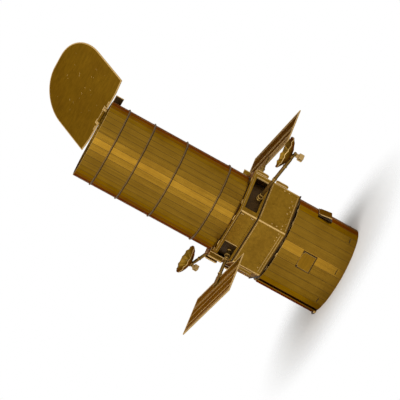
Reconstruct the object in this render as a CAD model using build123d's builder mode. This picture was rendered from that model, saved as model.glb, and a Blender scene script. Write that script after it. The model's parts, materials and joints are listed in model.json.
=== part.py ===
from build123d import *
import math
import os

# Desk model of a space-telescope satellite, folded from thin brass sheet.
# Millimetres, +Z up along the telescope, origin at the centre of the aft end
# it stands on.  -Y is the front antenna, +Y the back one, -X and +X carry the
# solar arrays.  The mouth is at the top, with its door swung open.

# ---- driving dimensions -----------------------------------------------------
sheet = 0.4                # thickness of every folded sheet
seat_gap = 0.05            # what is left between a piece and the sheet it sits on
running_gap = 0.05         # radial clearance of each turning pin

tube_radius = 14.15        # forward tube, over its bend lines
tube_bends = 40
tube_length = 59.7
band_proud = 0.35
band_width = 0.6
band_drops = (45.4, 28.95, 16.45, 6.65)    # middle of each band, below the rim

bay_gap = 0.65             # between the tube and the middle of a bay side
bay_height = 10.3          # main bay
groove = 0.6               # between main bay and strip
strip_height = 6.3
recess = 0.7               # how far the plate in the groove stands back
flange_proud = 0.3

tab_height = 4.7           # joining tabs that stand out at the bay's corners
tab_reach = 1.5
bay_tabs = ((30, 0, 7.2), (-90, -60, 5.0), (-150, 180, 7.2), (90, 120, 5.0))
strip_tabs = ((30, 0, 3.9), (-150, 180, 3.9))    # corner, side, middle above its foot

window_width = 13.6        # openings in the strip for the antenna booms
window_sill = 0.7          # strip left below and above each opening
window_head = 1.0
notch_width = 9.2          # openings at two corners for the array masts
notch_depth = 2.7

shroud_proud = 0.95        # bend lines of the aft shroud outside the bay's sides
shroud_bends = 32
shroud_height = 22.9
neck_inset = 0.8           # neck inside the bay's sides
neck_height = 0.6
hatch_place = 10.9         # lower edge of a hatch
hatch_length = 4.7
hatch_width = 5.5
hatch_lift = 0.9
hatch_angles = (-46, 30, 110, 190)
seam_angle = -110
seam_width = 2.4

arm_rise = 1.75            # masts and booms leave the strip this far above its foot
socket_radius = 1.0
mast_radius = 0.6
mast_socket_length = 2.4
arm_inset = 0.55           # from the tube's wall to the inner end of a mast or boom
mast_length = 11.6         # to the inner edge of a solar array
array_width = 15.75
array_length = 34.3
array_shift = 1.0          # the left array sits this much towards the front
array_tilt = 3.6
clip_width = 3.0
clip_length = 3.4          # along the array, past its inner edge
clip_root = 1.0            # and back along the mast
bracket_start = 18.1       # plates that stand out from the flange over the masts
bracket_end = 20.4
bracket_rise = 1.0         # above the flange
bracket_drop = 3.95        # below it, outside the flange
bracket_root = 16.4        # inner end of the foot on the flange
bracket_foot = 1.0         # its length and width
bracket_foot_width = 1.6

boom_radius = 0.5
boom_socket_length = 1.4
back_lean = 7.5            # the back boom is bent towards the mouth
back_swing = -8.0          # and a little to one side
dish_reach = 26.6          # from the tube's wall to the middle of a dish
dish_radius = 5.6
dish_depth = 2.3
dish_lift = 0.65           # bottom of the bowl over the middle of the boom
hub_radius = 0.8
block_size = 1.8
block_reach = 1.4          # from the middle of the dish to the feed block, along the boom
block_drop = 1.75
block_neck = 1.0

hinge_angle = 108.0        # where the door hinge sits round the mouth
pin_radius = 0.3
pin_out = 0.7              # from the tube's wall to the pin
pin_rise = 0.45            # from the rim to the pin
eye_radius = 0.6
lug_place = 3.0
lug_width = 0.9
lug_gap = 0.15
plate_length = 21.0
plate_drop = 3.0
door_width = 32.7
door_reach = 28.5
door_corner = 13.7
door_foot = -0.45
foot_width = 22.0
foot_rise = 0.6
door_lean = 38.3           # past upright when open

# ---- worked out from them ---------------------------------------------------
hex_cos = math.cos(math.radians(30))
bay_side = tube_radius + bay_gap + sheet       # middle of each of its six sides
bay_radius = bay_side / hex_cos                # over its six corners
shroud_radius = bay_side + shroud_proud
neck_radius = bay_side - neck_inset
aft_plate_floor = shroud_height + neck_height
bay_floor = aft_plate_floor + sheet
bay_top = bay_floor + bay_height
strip_floor = bay_top + groove
strip_top = strip_floor + strip_height
mouth_height = strip_floor + tube_length
arm_height = strip_floor + arm_rise
window_height = strip_height - window_sill - window_head
window_middle = strip_floor + window_sill + window_height / 2
arm_start = tube_radius + arm_inset
array_start = arm_start + mast_length
boom_end = dish_reach + block_reach + block_size / 2
pin_height = mouth_height + pin_rise
pin_reach = tube_radius + pin_out

os.makedirs("parts", exist_ok=True)


def outward(angle):
    """Level direction at an angle round the telescope; 0 is the front, -Y."""
    turn = math.radians(angle)
    return Vector(math.sin(turn), -math.cos(turn), 0)


def side_plane(angle, distance, height):
    """Plane facing outward, its x level and its y up."""
    normal = outward(angle)
    spot = normal * distance + Vector(0, 0, height)
    return Plane(origin=spot, x_dir=Vector(0, 0, 1).cross(normal), z_dir=normal)


def save(piece, label):
    piece.part.label = label
    export_step(piece.part, f"parts/{label}.step")


# ---- forward tube and its bands ---------------------------------------------
with BuildPart() as forward_tube:
    with BuildSketch(Plane.XY.offset(strip_floor)):
        RegularPolygon(tube_radius, tube_bends)
        RegularPolygon(tube_radius - sheet, tube_bends, mode=Mode.SUBTRACT)
    extrude(amount=tube_length)
save(forward_tube, "forward_tube")

for number, drop in enumerate(band_drops, start=1):
    with BuildPart() as tube_band:
        with BuildSketch(Plane.XY.offset(mouth_height - drop - band_width / 2)):
            RegularPolygon(tube_radius + band_proud, tube_bends)
            RegularPolygon(tube_radius, tube_bends, mode=Mode.SUBTRACT)
        extrude(amount=band_width)
    save(tube_band, f"tube_band_{number}")

# ---- equipment section ------------------------------------------------------
with BuildPart() as front_plate:
    with BuildSketch(Plane.XY.offset(strip_top)):
        RegularPolygon(bay_radius + flange_proud, 6)
        Circle(tube_radius + seat_gap, mode=Mode.SUBTRACT)
    extrude(amount=sheet)
save(front_plate, "front_plate")

with BuildPart() as bay_strip:
    with BuildSketch(Plane.XY.offset(strip_floor)):
        RegularPolygon(bay_radius, 6)
        RegularPolygon(bay_radius - sheet / hex_cos, 6, mode=Mode.SUBTRACT)
    extrude(amount=strip_height)
    for angle in (0, 180):
        with BuildSketch(side_plane(angle, tube_radius, window_middle)):
            Rectangle(window_width, window_height)
        extrude(amount=bay_radius, mode=Mode.SUBTRACT)
    for angle in (-90, 90):
        with BuildSketch(side_plane(angle, bay_radius - notch_depth, window_middle)):
            Rectangle(notch_width, window_height)
        extrude(amount=bay_radius, mode=Mode.SUBTRACT)
save(bay_strip, "bay_strip")

with BuildPart() as mid_plate:
    with BuildSketch(Plane.XY.offset(bay_top)):
        RegularPolygon(bay_radius - recess, 6)
    extrude(amount=groove)
save(mid_plate, "mid_plate")

with BuildPart() as bay_wrap:
    with BuildSketch(Plane.XY.offset(bay_floor)):
        RegularPolygon(bay_radius, 6)
        RegularPolygon(bay_radius - sheet / hex_cos, 6, mode=Mode.SUBTRACT)
    extrude(amount=bay_height)
save(bay_wrap, "bay_wrap")

with BuildPart() as aft_plate:
    with BuildSketch(Plane.XY.offset(aft_plate_floor)):
        RegularPolygon(bay_radius + flange_proud, 6)
    extrude(amount=sheet)
save(aft_plate, "aft_plate")

half_side = bay_radius / 2
tab_root = half_side + sheet * math.tan(math.radians(30)) + seat_gap
with BuildPart() as corner_tabs:
    for tabs, foot in ((bay_tabs, bay_floor), (strip_tabs, strip_floor)):
        for corner, side, middle in tabs:
            # the tab carries its side on past the corner, to the left or the right
            way = 1 if (corner - side) % 360 < 180 else -1
            place = way * (tab_root + half_side + tab_reach) / 2
            with BuildSketch(side_plane(side, bay_side - sheet, foot + middle)):
                with Locations((place, 0)):
                    Rectangle(half_side + tab_reach - tab_root, tab_height)
            extrude(amount=sheet)
save(corner_tabs, "corner_tabs")

# ---- aft shroud -------------------------------------------------------------
with BuildPart() as aft_shroud:
    with BuildSketch():
        RegularPolygon(shroud_radius, shroud_bends)
        RegularPolygon(shroud_radius - sheet, shroud_bends, mode=Mode.SUBTRACT)
    extrude(amount=shroud_height)
save(aft_shroud, "aft_shroud")

with BuildPart() as shroud_cap:
    with BuildSketch(Plane.XY.offset(shroud_height - sheet)):
        RegularPolygon(shroud_radius - sheet, shroud_bends)
    extrude(amount=sheet)
    with BuildSketch(Plane.XY.offset(shroud_height)):
        Circle(neck_radius)
    extrude(amount=neck_height)
save(shroud_cap, "shroud_cap")

with BuildPart() as aft_disc:
    with BuildSketch():
        RegularPolygon(shroud_radius - sheet, shroud_bends)
    extrude(amount=sheet)
save(aft_disc, "aft_disc")

for number, angle in enumerate(hatch_angles, start=1):
    # a wedge lying on the shroud: its upper edge close to it, its lower edge lifted
    flank = side_plane(angle, 0, 0)
    profile = Plane(origin=(0, 0, 0), x_dir=flank.z_dir, z_dir=-flank.x_dir)
    with BuildPart() as hatch:
        with BuildSketch(profile):
            with BuildLine():
                Polyline(
                    (shroud_radius + seat_gap, hatch_place + hatch_length),
                    (shroud_radius + seat_gap, hatch_place),
                    (shroud_radius + hatch_lift, hatch_place),
                    (shroud_radius + seat_gap + sheet / 2, hatch_place + hatch_length),
                    close=True,
                )
            make_face()
        extrude(amount=hatch_width / 2, both=True)
    save(hatch, f"hatch_{number}")

with BuildPart() as shroud_seam:
    with BuildSketch(side_plane(seam_angle, shroud_radius + seat_gap, shroud_height / 2)):
        Rectangle(seam_width, shroud_height)
    extrude(amount=sheet)
save(shroud_seam, "shroud_seam")

# ---- sockets for masts and booms --------------------------------------------
sockets = (
    # name, angle, length, radius of what turns in it
    ("mast_socket_left", -90, mast_socket_length, mast_radius),
    ("mast_socket_right", 90, mast_socket_length, mast_radius),
    ("boom_socket_front", 0, boom_socket_length, boom_radius),
    ("boom_socket_back", 180, boom_socket_length, boom_radius),
)


def arm_plane(label, angle):
    """Plane at the tube's wall whose normal runs along a mast or boom."""
    if label.endswith("back"):
        lean = math.radians(back_lean)
        level = outward(angle + back_swing)
        normal = level * math.cos(lean) + Vector(0, 0, math.sin(lean))
    else:
        normal = outward(angle)
    start = outward(angle) * (tube_radius + seat_gap) + Vector(0, 0, arm_height)
    return Plane(origin=start, x_dir=Vector(0, 0, 1).cross(normal), z_dir=normal)


for label, angle, length, bore in sockets:
    with BuildPart() as socket:
        with BuildSketch(side_plane(angle, tube_radius + seat_gap, arm_height)):
            Circle(socket_radius)
        extrude(amount=length)
        with BuildSketch(arm_plane(label, angle)):
            Circle(bore + running_gap)
        extrude(amount=2 * length, both=True, mode=Mode.SUBTRACT)
    save(socket, label)

for label, angle in (("left", -90), ("right", 90)):
    # a plate in the radial plane: it stands on the flange and hangs down outside it
    flank = side_plane(angle, 0, strip_top + sheet + seat_gap)
    radial = Plane(origin=flank.origin, x_dir=flank.z_dir, z_dir=-flank.x_dir)
    with BuildPart() as bracket:
        with BuildSketch(radial):
            with BuildLine():
                Polyline(
                    (bracket_root, 0),
                    (bracket_start, 0),
                    (bracket_start, -bracket_drop),
                    (bracket_end, -bracket_drop),
                    (bracket_end, bracket_rise),
                    (bracket_root, bracket_rise),
                    close=True,
                )
            make_face()
        extrude(amount=sheet / 2, both=True)
        with BuildSketch(flank.offset(bracket_root)):
            with Locations((0, sheet / 2)):
                Rectangle(bracket_foot_width, sheet)
        extrude(amount=bracket_foot)
    save(bracket, f"mast_bracket_{label}")

# ---- solar arrays -----------------------------------------------------------
for label, angle, side, shift in (("left", -90, -1, array_shift), ("right", 90, 1, 0)):
    wing = Plane.XY.rotated((array_tilt, 0, 0)).offset(0)
    wing.origin = Vector(0, 0, arm_height)
    with BuildPart() as array_panel:
        with BuildSketch(wing.offset(-seat_gap)):
            with Locations((side * (array_start + array_width / 2), -shift)):
                Rectangle(array_width, array_length)
        extrude(amount=-sheet)
    save(array_panel, f"array_{label}")

    with BuildPart() as mast:
        with BuildSketch(side_plane(angle, arm_start, arm_height)):
            Circle(mast_radius)
        extrude(amount=mast_length - seat_gap)
        with BuildSketch(wing):
            with Locations((side * (array_start + (clip_length - clip_root) / 2), 0)):
                Rectangle(clip_length + clip_root, clip_width)
        extrude(amount=sheet)
    save(mast, f"mast_{label}")

# ---- antennas ---------------------------------------------------------------
bowl_curve = (dish_radius ** 2 + dish_depth ** 2) / (2 * dish_depth)
for label, angle in (("front", 0), ("back", 180)):
    along = arm_plane(label, angle)
    start = along.origin
    up = along.z_dir.cross(along.x_dir)

    with BuildPart() as boom:
        with BuildSketch(along.offset(arm_inset)):
            Circle(boom_radius)
        extrude(amount=boom_end - arm_inset)
        hub_plane = Plane(origin=start + along.z_dir * dish_reach, x_dir=along.z_dir, z_dir=up)
        with BuildSketch(hub_plane):
            Circle(hub_radius)
        extrude(amount=dish_lift)
    save(boom, f"boom_{label}")

    bowl_side = Plane(origin=hub_plane.origin + up * dish_lift, x_dir=along.z_dir, z_dir=along.x_dir)
    rise = up.dot(bowl_side.y_dir)
    with BuildPart() as dish:
        with BuildSketch(bowl_side):
            with BuildLine():
                outer = ThreePointArc(
                    (0, 0),
                    (dish_radius / 2, rise * (bowl_curve - math.sqrt(bowl_curve ** 2 - dish_radius ** 2 / 4))),
                    (dish_radius, rise * dish_depth),
                )
                inner = ThreePointArc(
                    (dish_radius, rise * (dish_depth + sheet)),
                    (dish_radius / 2, rise * (sheet + bowl_curve - math.sqrt(bowl_curve ** 2 - dish_radius ** 2 / 4))),
                    (0, rise * sheet),
                )
                Line(outer @ 1, inner @ 0)
                Line(inner @ 1, outer @ 0)
            make_face()
        revolve(axis=Axis(bowl_side.origin, up))
    save(dish, f"dish_{label}")

    block_root = hub_plane.origin + along.z_dir * block_reach - up * boom_radius
    block_plane = Plane(origin=block_root, x_dir=along.z_dir, z_dir=-up)
    with BuildPart() as feed_block:
        with BuildSketch(block_plane):
            Rectangle(block_neck, block_neck)
        extrude(amount=block_drop)
        with BuildSketch(block_plane.offset(block_drop - block_size / 2)):
            Rectangle(block_size, block_size)
        extrude(amount=block_size)
    save(feed_block, f"feed_block_{label}")

# ---- door and its hinge -----------------------------------------------------
hinge_out = outward(hinge_angle)
hinge_along = Vector(0, 0, 1).cross(hinge_out)
pin_middle = hinge_out * pin_reach + Vector(0, 0, pin_height)
hinge_span = 2 * lug_place + lug_width
pin_plane = Plane(origin=pin_middle, x_dir=hinge_out, z_dir=-hinge_along)
tongue = 2 * lug_place - lug_width - 2 * lug_gap

with BuildPart() as hinge_pin:
    with BuildSketch(pin_plane):
        Circle(pin_radius)
    extrude(amount=hinge_span / 2, both=True)
save(hinge_pin, "hinge_pin")

with BuildPart() as hinge_plate:
    plate_top = pin_height - eye_radius - lug_gap
    plate_middle = plate_top - plate_drop / 2
    with BuildSketch(side_plane(hinge_angle, tube_radius + seat_gap, plate_middle)):
        Rectangle(plate_length, plate_drop)
    extrude(amount=sheet)
    for place in (-lug_place, lug_place):
        with BuildSketch(pin_plane.offset(place)):
            Circle(eye_radius)
            with BuildLine():
                Polyline(
                    (eye_radius, 0),
                    (tube_radius + seat_gap - pin_reach, 0),
                    (tube_radius + seat_gap - pin_reach, plate_middle - pin_height),
                    (tube_radius + seat_gap + sheet - pin_reach, plate_middle - pin_height),
                    close=True,
                )
            make_face()
            Circle(pin_radius, mode=Mode.SUBTRACT)
        extrude(amount=lug_width / 2, both=True)
save(hinge_plate, "hinge_plate")

lean = math.radians(door_lean)
door_up = hinge_out * math.sin(lean) + Vector(0, 0, math.cos(lean))
door_plane = Plane(origin=pin_middle, x_dir=hinge_along, z_dir=hinge_along.cross(door_up))
with BuildPart() as door:
    with BuildSketch(door_plane.offset(-sheet / 2)):
        with BuildLine():
            half = door_width / 2
            arc_start = door_reach - door_corner
            Line((-foot_width / 2, door_foot), (foot_width / 2, door_foot))
            Line((foot_width / 2, door_foot), (half, door_foot + foot_rise))
            Line((half, door_foot + foot_rise), (half, arc_start))
            RadiusArc((half, arc_start), (half - door_corner, door_reach), -door_corner)
            Line((half - door_corner, door_reach), (door_corner - half, door_reach))
            RadiusArc((door_corner - half, door_reach), (-half, arc_start), -door_corner)
            Line((-half, arc_start), (-half, door_foot + foot_rise))
            Line((-half, door_foot + foot_rise), (-foot_width / 2, door_foot))
        make_face()
    extrude(amount=sheet)
    for place in (-lug_place, lug_place):
        with BuildSketch(pin_plane.offset(place)):
            Circle(eye_radius + lug_gap)
        extrude(amount=lug_width / 2 + lug_gap, both=True, mode=Mode.SUBTRACT)
    with BuildSketch(pin_plane):
        Circle(eye_radius)
    extrude(amount=tongue / 2, both=True)
    with BuildSketch(pin_plane):
        Circle(pin_radius + running_gap)
    extrude(amount=tongue, both=True, mode=Mode.SUBTRACT)
save(door, "door")
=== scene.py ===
import json
import math
import random

import bmesh
import bpy
from mathutils import Matrix, Vector
from mathutils.geometry import tessellate_polygon


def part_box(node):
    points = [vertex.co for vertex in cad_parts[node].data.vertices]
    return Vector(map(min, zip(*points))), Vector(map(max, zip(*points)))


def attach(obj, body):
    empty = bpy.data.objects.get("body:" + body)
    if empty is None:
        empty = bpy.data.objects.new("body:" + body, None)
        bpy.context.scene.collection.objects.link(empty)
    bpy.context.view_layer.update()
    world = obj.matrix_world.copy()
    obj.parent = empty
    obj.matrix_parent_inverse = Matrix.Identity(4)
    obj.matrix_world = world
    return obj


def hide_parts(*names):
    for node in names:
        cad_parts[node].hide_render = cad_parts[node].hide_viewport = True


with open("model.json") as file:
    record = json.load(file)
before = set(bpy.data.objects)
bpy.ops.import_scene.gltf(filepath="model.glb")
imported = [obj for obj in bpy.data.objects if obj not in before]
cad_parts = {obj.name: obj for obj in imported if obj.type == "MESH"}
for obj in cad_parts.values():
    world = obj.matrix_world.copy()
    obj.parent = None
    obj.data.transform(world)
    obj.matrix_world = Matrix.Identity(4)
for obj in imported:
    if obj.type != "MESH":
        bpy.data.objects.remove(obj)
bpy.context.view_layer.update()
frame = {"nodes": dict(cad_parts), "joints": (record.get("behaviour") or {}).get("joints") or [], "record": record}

bl_info = {
    "name": "Folded Brass Satellite",
    "version": (1, 0, 0),
    "blender": (4, 5, 0),
    "location": "3D View > Sidebar > Brass Satellite",
    "description": "Builds the sheets, tabs, etched lines and finishes of a small brass satellite",
    "category": "Object",
}

MM = 0.001
UP = Vector((0, 0, 1))

# Finishes of a face, as material slots of every piece: the sheet; a pale cut edge, partly the edges' own look and
# partly painted highlight; and a near-black finish, painted shade in gaps, grooves, slots, bores, bends and under
# things.
SHEET, EDGE_GLINT, PAINTED_SHADE = 0, 1, 2

# Angles round the telescope are in degrees from the front, -Y, through +X.
SIDES = (0, 60, 120, 180, 240, 300)
CORNERS = (-150, -90, -30, 30, 90, 150)

# What the frame gives.
JOINTS = {joint["name"]: joint for joint in frame["joints"]}
TUBE_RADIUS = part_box("forward_tube")[1].x
STRIP_FLOOR, STRIP_TOP = (corner.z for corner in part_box("bay_strip"))
BAY_FLOOR, BAY_TOP = (corner.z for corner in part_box("bay_wrap"))
BAY_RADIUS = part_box("bay_wrap")[1].x                  # over its corners
BAY_SIDE = BAY_RADIUS * math.cos(math.radians(30))    # at the middle of a side
HALF_SIDE = BAY_RADIUS / 2
FLANGE_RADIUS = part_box("front_plate")[1].x
SHEET_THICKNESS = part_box("front_plate")[1].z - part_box("front_plate")[0].z
SHROUD_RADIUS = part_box("aft_shroud")[1].x
SHROUD_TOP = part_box("aft_shroud")[1].z
ARM_HEIGHT = JOINTS["wing_left_swivel"]["pos_m"][2]
HINGE = Vector(JOINTS["door_hinge"]["pos_m"])
HINGE_AZIMUTH = math.degrees(math.atan2(HINGE.x, -HINGE.y))

SEAT_GAP = 0.05 * MM          # between pieces that sit on each other
RUNNING_GAP = 0.05 * MM       # round pins that turn


# ---- places -----------------------------------------------------------------
def outward(azimuth, elevation=0):
    """Direction at an azimuth round the telescope, raised by an elevation."""
    turn, rise = math.radians(azimuth), math.radians(elevation)
    return Vector((math.sin(turn) * math.cos(rise), -math.cos(turn) * math.cos(rise),
                   math.sin(rise)))


def axes(origin, across, normal):
    """Matrix whose x runs along across, whose z is normal, and which stands at origin."""
    z = Vector(normal).normalized()
    x = Vector(across).normalized()
    place = Matrix((x, z.cross(x), z)).transposed().to_4x4()
    place.translation = Vector(origin)
    return place


def on_side(azimuth, distance, height):
    """Place on a wall that faces azimuth: x level, y up, z outward."""
    normal = outward(azimuth)
    return axes(normal * distance + UP * height, UP.cross(normal), normal)


def on_top(azimuth, distance, height, way=1):
    """Place on a level face: x along its rim, z up, or down where way is -1."""
    spot = outward(azimuth) * distance + UP * height
    return axes(spot, outward(azimuth + 90) * way, UP * way)


def shifted(place, x=0.0, y=0.0, z=0.0):
    """The place moved along its own axes."""
    return place @ Matrix.Translation((x, y, z))


def rectangle(width, height, x=0.0, y=0.0):
    """Counter-clockwise corners of a rectangle round (x, y)."""
    w, h = width / 2, height / 2
    return [(x - w, y - h), (x + w, y - h), (x + w, y + h), (x - w, y + h)]


def polygon(radius, count):
    """Counter-clockwise corners of a regular polygon, the first on the x axis."""
    turns = (math.tau * k / count for k in range(count))
    return [(radius * math.cos(t), radius * math.sin(t)) for t in turns]


def arc(x, y, radius, start, end, steps):
    """Points along an arc round (x, y), its angles in degrees."""
    turns = (math.radians(start + (end - start) * k / steps) for k in range(steps + 1))
    return [(x + radius * math.cos(t), y + radius * math.sin(t)) for t in turns]


def inset(outline, width):
    """The outline moved to its left by width, which is inward where it runs counter-clockwise."""
    moved = []
    for i, here in enumerate(outline):
        here = Vector(here)
        arrive = (here - Vector(outline[i - 1])).normalized()
        leave = (Vector(outline[(i + 1) % len(outline)]) - here).normalized()
        left = Vector((-arrive.y, arrive.x))
        mitre = left + Vector((-leave.y, leave.x))
        moved.append(tuple(here + mitre * (width / mitre.dot(left))))
    return moved


# ---- making pieces ----------------------------------------------------------
PIN_CHAMFER = 0.2             # share of a pin's radius
LINE_ROOT = 0.3               # how deep a raised line is sunk, as a share of its rise
LINE_SLOPE = 0.25             # share of its width that each sloping side takes
RIVET_HEAD = ((1.0, -0.2), (0.85, 0.45), (0.45, 0.7))    # radius and height of its rings, in radii
RIVET_SIDES = 8


def show(name, data):
    """New object with this data, linked to the scene."""
    made = bpy.data.objects.new(name, data)
    bpy.context.collection.objects.link(made)
    return made


class Blank:
    """A piece in the making: flat stock, skins and pins gathered into one mesh."""

    def __init__(self):
        self.mesh = bmesh.new()

    def add(self, points, faces, place=Matrix(), sharp=()):
        """Adds points, and faces as (corner numbers, finish), and marks sharp edges."""
        verts = [self.mesh.verts.new(place @ Vector(p)) for p in points]
        for corners, finish in faces:
            face = self.mesh.faces.new([verts[c] for c in corners])
            face.material_index = finish
            face.smooth = True
        for a, b in sharp:
            edge = self.mesh.edges.get((verts[a], verts[b]))
            if edge:
                edge.smooth = False

    def slab(self, outline, low, high, place=Matrix(), holes=(), chamfer=None, margin=None,
             top=SHEET, side=EDGE_GLINT, bottom=None):
        """Flat stock from low to high along z of its place.

        chamfer is how deep its edge is chamfered, and margin how far that reaches inward.
        """
        chamfer = bpy.context.scene.brass_sheet.chamfer if chamfer is None else chamfer
        margin = chamfer if margin is None else margin
        bottom = top if bottom is None else bottom
        loops = [list(outline)] + [list(hole)[::-1] for hole in holes]
        drawn = [inset(loop, margin) for loop in loops]
        rings = ((drawn, low), (loops, low + chamfer), (loops, high - chamfer), (drawn, high))
        points = [(x, y, z) for ring, z in rings for loop in ring for x, y in loop]
        count = sum(len(loop) for loop in loops)
        last = (len(rings) - 1) * count
        caps = [range(count)]
        if holes:
            caps = tessellate_polygon([[Vector((x, y, 0)) for x, y in loop] for loop in drawn])
        faces = []
        for cap in caps:
            faces.append((tuple(cap)[::-1], bottom))
            faces.append((tuple(c + last for c in cap), top))
        start = 0
        for loop in loops:
            for i in range(len(loop)):
                a, b = start + i, start + (i + 1) % len(loop)
                for ring in range(0, last, count):
                    faces.append(((a + ring, b + ring, b + ring + count, a + ring + count), side))
            start += len(loop)
        self.add(points, faces, place)

    def skin(self, rings, finishes, place=Matrix(), creases=False, wrap=False, caps=None, bends=None):
        """Joins rings of as many points each. finishes has one entry for each band between rings.

        creases makes the edges across the bands sharp, and wrap joins the last ring to the first.
        caps is the finish of its closed ends, and bends that of a folded tube's bends, which are
        every other cell.
        """
        count = len(rings[0])
        faces, sharp = [], []
        for r in range(len(rings) if wrap else len(rings) - 1):
            up = ((r + 1) % len(rings)) * count
            for i in range(count):
                a, b = r * count + i, r * count + (i + 1) % count
                is_bend = bends is not None and i % 2 == 0 and finishes[r] == SHEET
                faces.append(((a, b, up + (i + 1) % count, up + i), bends if is_bend else finishes[r]))
                if creases:
                    sharp.append((a, up + i))
        if caps is not None:
            faces.append((tuple(range(count))[::-1], caps))
            faces.append((tuple(range((len(rings) - 1) * count, len(rings) * count)), caps))
        self.add([p for ring in rings for p in ring], faces, place, sharp)

    def wall(self, outer, inner, ends=EDGE_GLINT, is_open=None):
        """Sheet between two closed skins of points in rows, whose first and last cells are ends.

        Cells where is_open(row, column) are cut out.
        """
        rows, columns = len(outer), len(outer[0])
        second = rows * columns

        def solid(r, c):
            return 0 <= r < rows - 1 and not (is_open and is_open(r, c % columns))

        faces = []
        for r in range(rows - 1):
            finish = ends if r in (0, rows - 2) else SHEET
            for c in range(columns):
                if not solid(r, c):
                    continue
                near, far = r * columns + c, r * columns + (c + 1) % columns
                corners = (near, far, far + columns, near + columns)
                faces.append((corners, finish))
                faces.append((tuple(second + k for k in corners[::-1]), finish))
                beside = (solid(r - 1, c), solid(r, c + 1), solid(r + 1, c), solid(r, c - 1))
                for k, kept in enumerate(beside):
                    if not kept:
                        a, b = corners[k], corners[(k + 1) % 4]
                        faces.append(((b, a, second + a, second + b), EDGE_GLINT))
        self.add([p for row in (*outer, *inner) for p in row], faces)

    def turned(self, profile, finishes, place=Matrix(), sides=32, wrap=False, caps=None):
        """Turns a profile of (radius, height) round z."""
        rings = [[(x, y, z) for x, y in polygon(r, sides)] for r, z in profile]
        self.skin(rings, finishes, place, wrap=wrap, caps=caps)

    def pin(self, start, end, radius, sides=20, finish=SHEET):
        """Round rod with chamfered ends."""
        start, end = Vector(start), Vector(end)
        along = end - start
        cut = radius * PIN_CHAMFER
        profile = ((radius - cut, 0), (radius, cut), (radius, along.length - cut),
                   (radius - cut, along.length))
        self.turned(profile, (EDGE_GLINT, finish, EDGE_GLINT), axes(start, along.orthogonal(), along), sides,
                    caps=EDGE_GLINT)

    def rod(self, place, start, end, radius, sides=20):
        """Round rod along z of its place."""
        self.pin(place @ Vector((0, 0, start)), place @ Vector((0, 0, end)), radius, sides)

    def strip(self, start, end, width, rise, place, finish=EDGE_GLINT):
        """Raised etched line on a flat face, from start to end in its plane."""
        start, end = Vector(start), Vector(end)
        along = (end - start).normalized()
        across = Vector((-along.y, along.x)) * width / 2
        corners = [start - across, end - across, end + across, start + across]
        crown = inset([tuple(c) for c in corners], width * LINE_SLOPE)
        points = [(c.x, c.y, -LINE_ROOT * rise) for c in corners] + [(x, y, rise) for x, y in crown]
        faces = [((k, (k + 1) % 4, (k + 1) % 4 + 4, k + 4), finish) for k in range(4)]
        self.add(points, faces + [((4, 5, 6, 7), finish), ((3, 2, 1, 0), finish)], place)

    def rivet(self, x, y, radius, place, finish):
        """Small domed rivet head on a flat face."""
        rings = [[(x + a, y + b, lift * radius) for a, b in polygon(radius * share, RIVET_SIDES)]
                 for share, lift in RIVET_HEAD]
        self.skin(rings, (finish, finish), place, caps=finish)

    def ready(self, name, body, slot, *nodes, finishes=None, sharp=20):
        """Closes the mesh into an object that rides on body and stands for the CAD nodes."""
        bmesh.ops.recalc_face_normals(self.mesh, faces=self.mesh.faces)
        limit = math.radians(sharp)
        for edge in self.mesh.edges:
            if len(edge.link_faces) == 2 and edge.calc_face_angle(0) > limit:
                edge.smooth = False
        data = bpy.data.meshes.new(name)
        self.mesh.to_mesh(data)
        self.mesh.free()
        for material in finishes or finish_set(slot):
            data.materials.append(material)
        piece = show(name, data)
        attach(piece, body)
        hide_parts(*nodes)


# ---- finishes ---------------------------------------------------------------
# How fine each texture is, in features along a metre, and how far the streaks are drawn out.
BROAD_STREAKS, FINE_STREAKS, PATCHES, SPECKS = 2200, 9000, 130, 3200
NICKS, PITS, PAPER_GRAIN = 2600, 4200, 60
BROAD_DRAW, FINE_DRAW = 0.97, 0.985

# Which way the sheet's grain runs on the pieces of each material slot, by axis.
GRAIN = {
    "tube_brass": (0.0, 0.0, 1.0),
    "band_brass": (0.0, 0.0, 1.0),
    "bay_brass": (0.6, 0.6, 0.6),
    "shroud_brass": (0.0, 0.0, 1.0),
    "array_brass": (0.0, 1.0, 0.0),
    "shaded_array_brass": (0.0, 1.0, 0.0),
    "arm_brass": (1.0, 0.0, 0.0),
    "dish_brass": (0.0, 1.0, 0.0),
    "door_brass": (0.9, 0.9, 0.0),
}
# How much rougher a slot's sheet is than the tube's, and how much from its smoothest to its
# roughest spot.
ROUGHER = {"door_brass": 0.3, "arm_brass": 0.1, "bay_brass": 0.03, "band_brass": 0.2,
           "dish_brass": 0.1, "array_brass": 0.06, "shaded_array_brass": 0.06, "shroud_brass": -0.06}
ROUGHNESS_SPAN = 0.16
# Share of polish on a slot's sheet; the rest is a dull film.
POLISH = {"band_brass": 0.45, "arm_brass": 0.9}
FINISHES_MADE = {}


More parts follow.
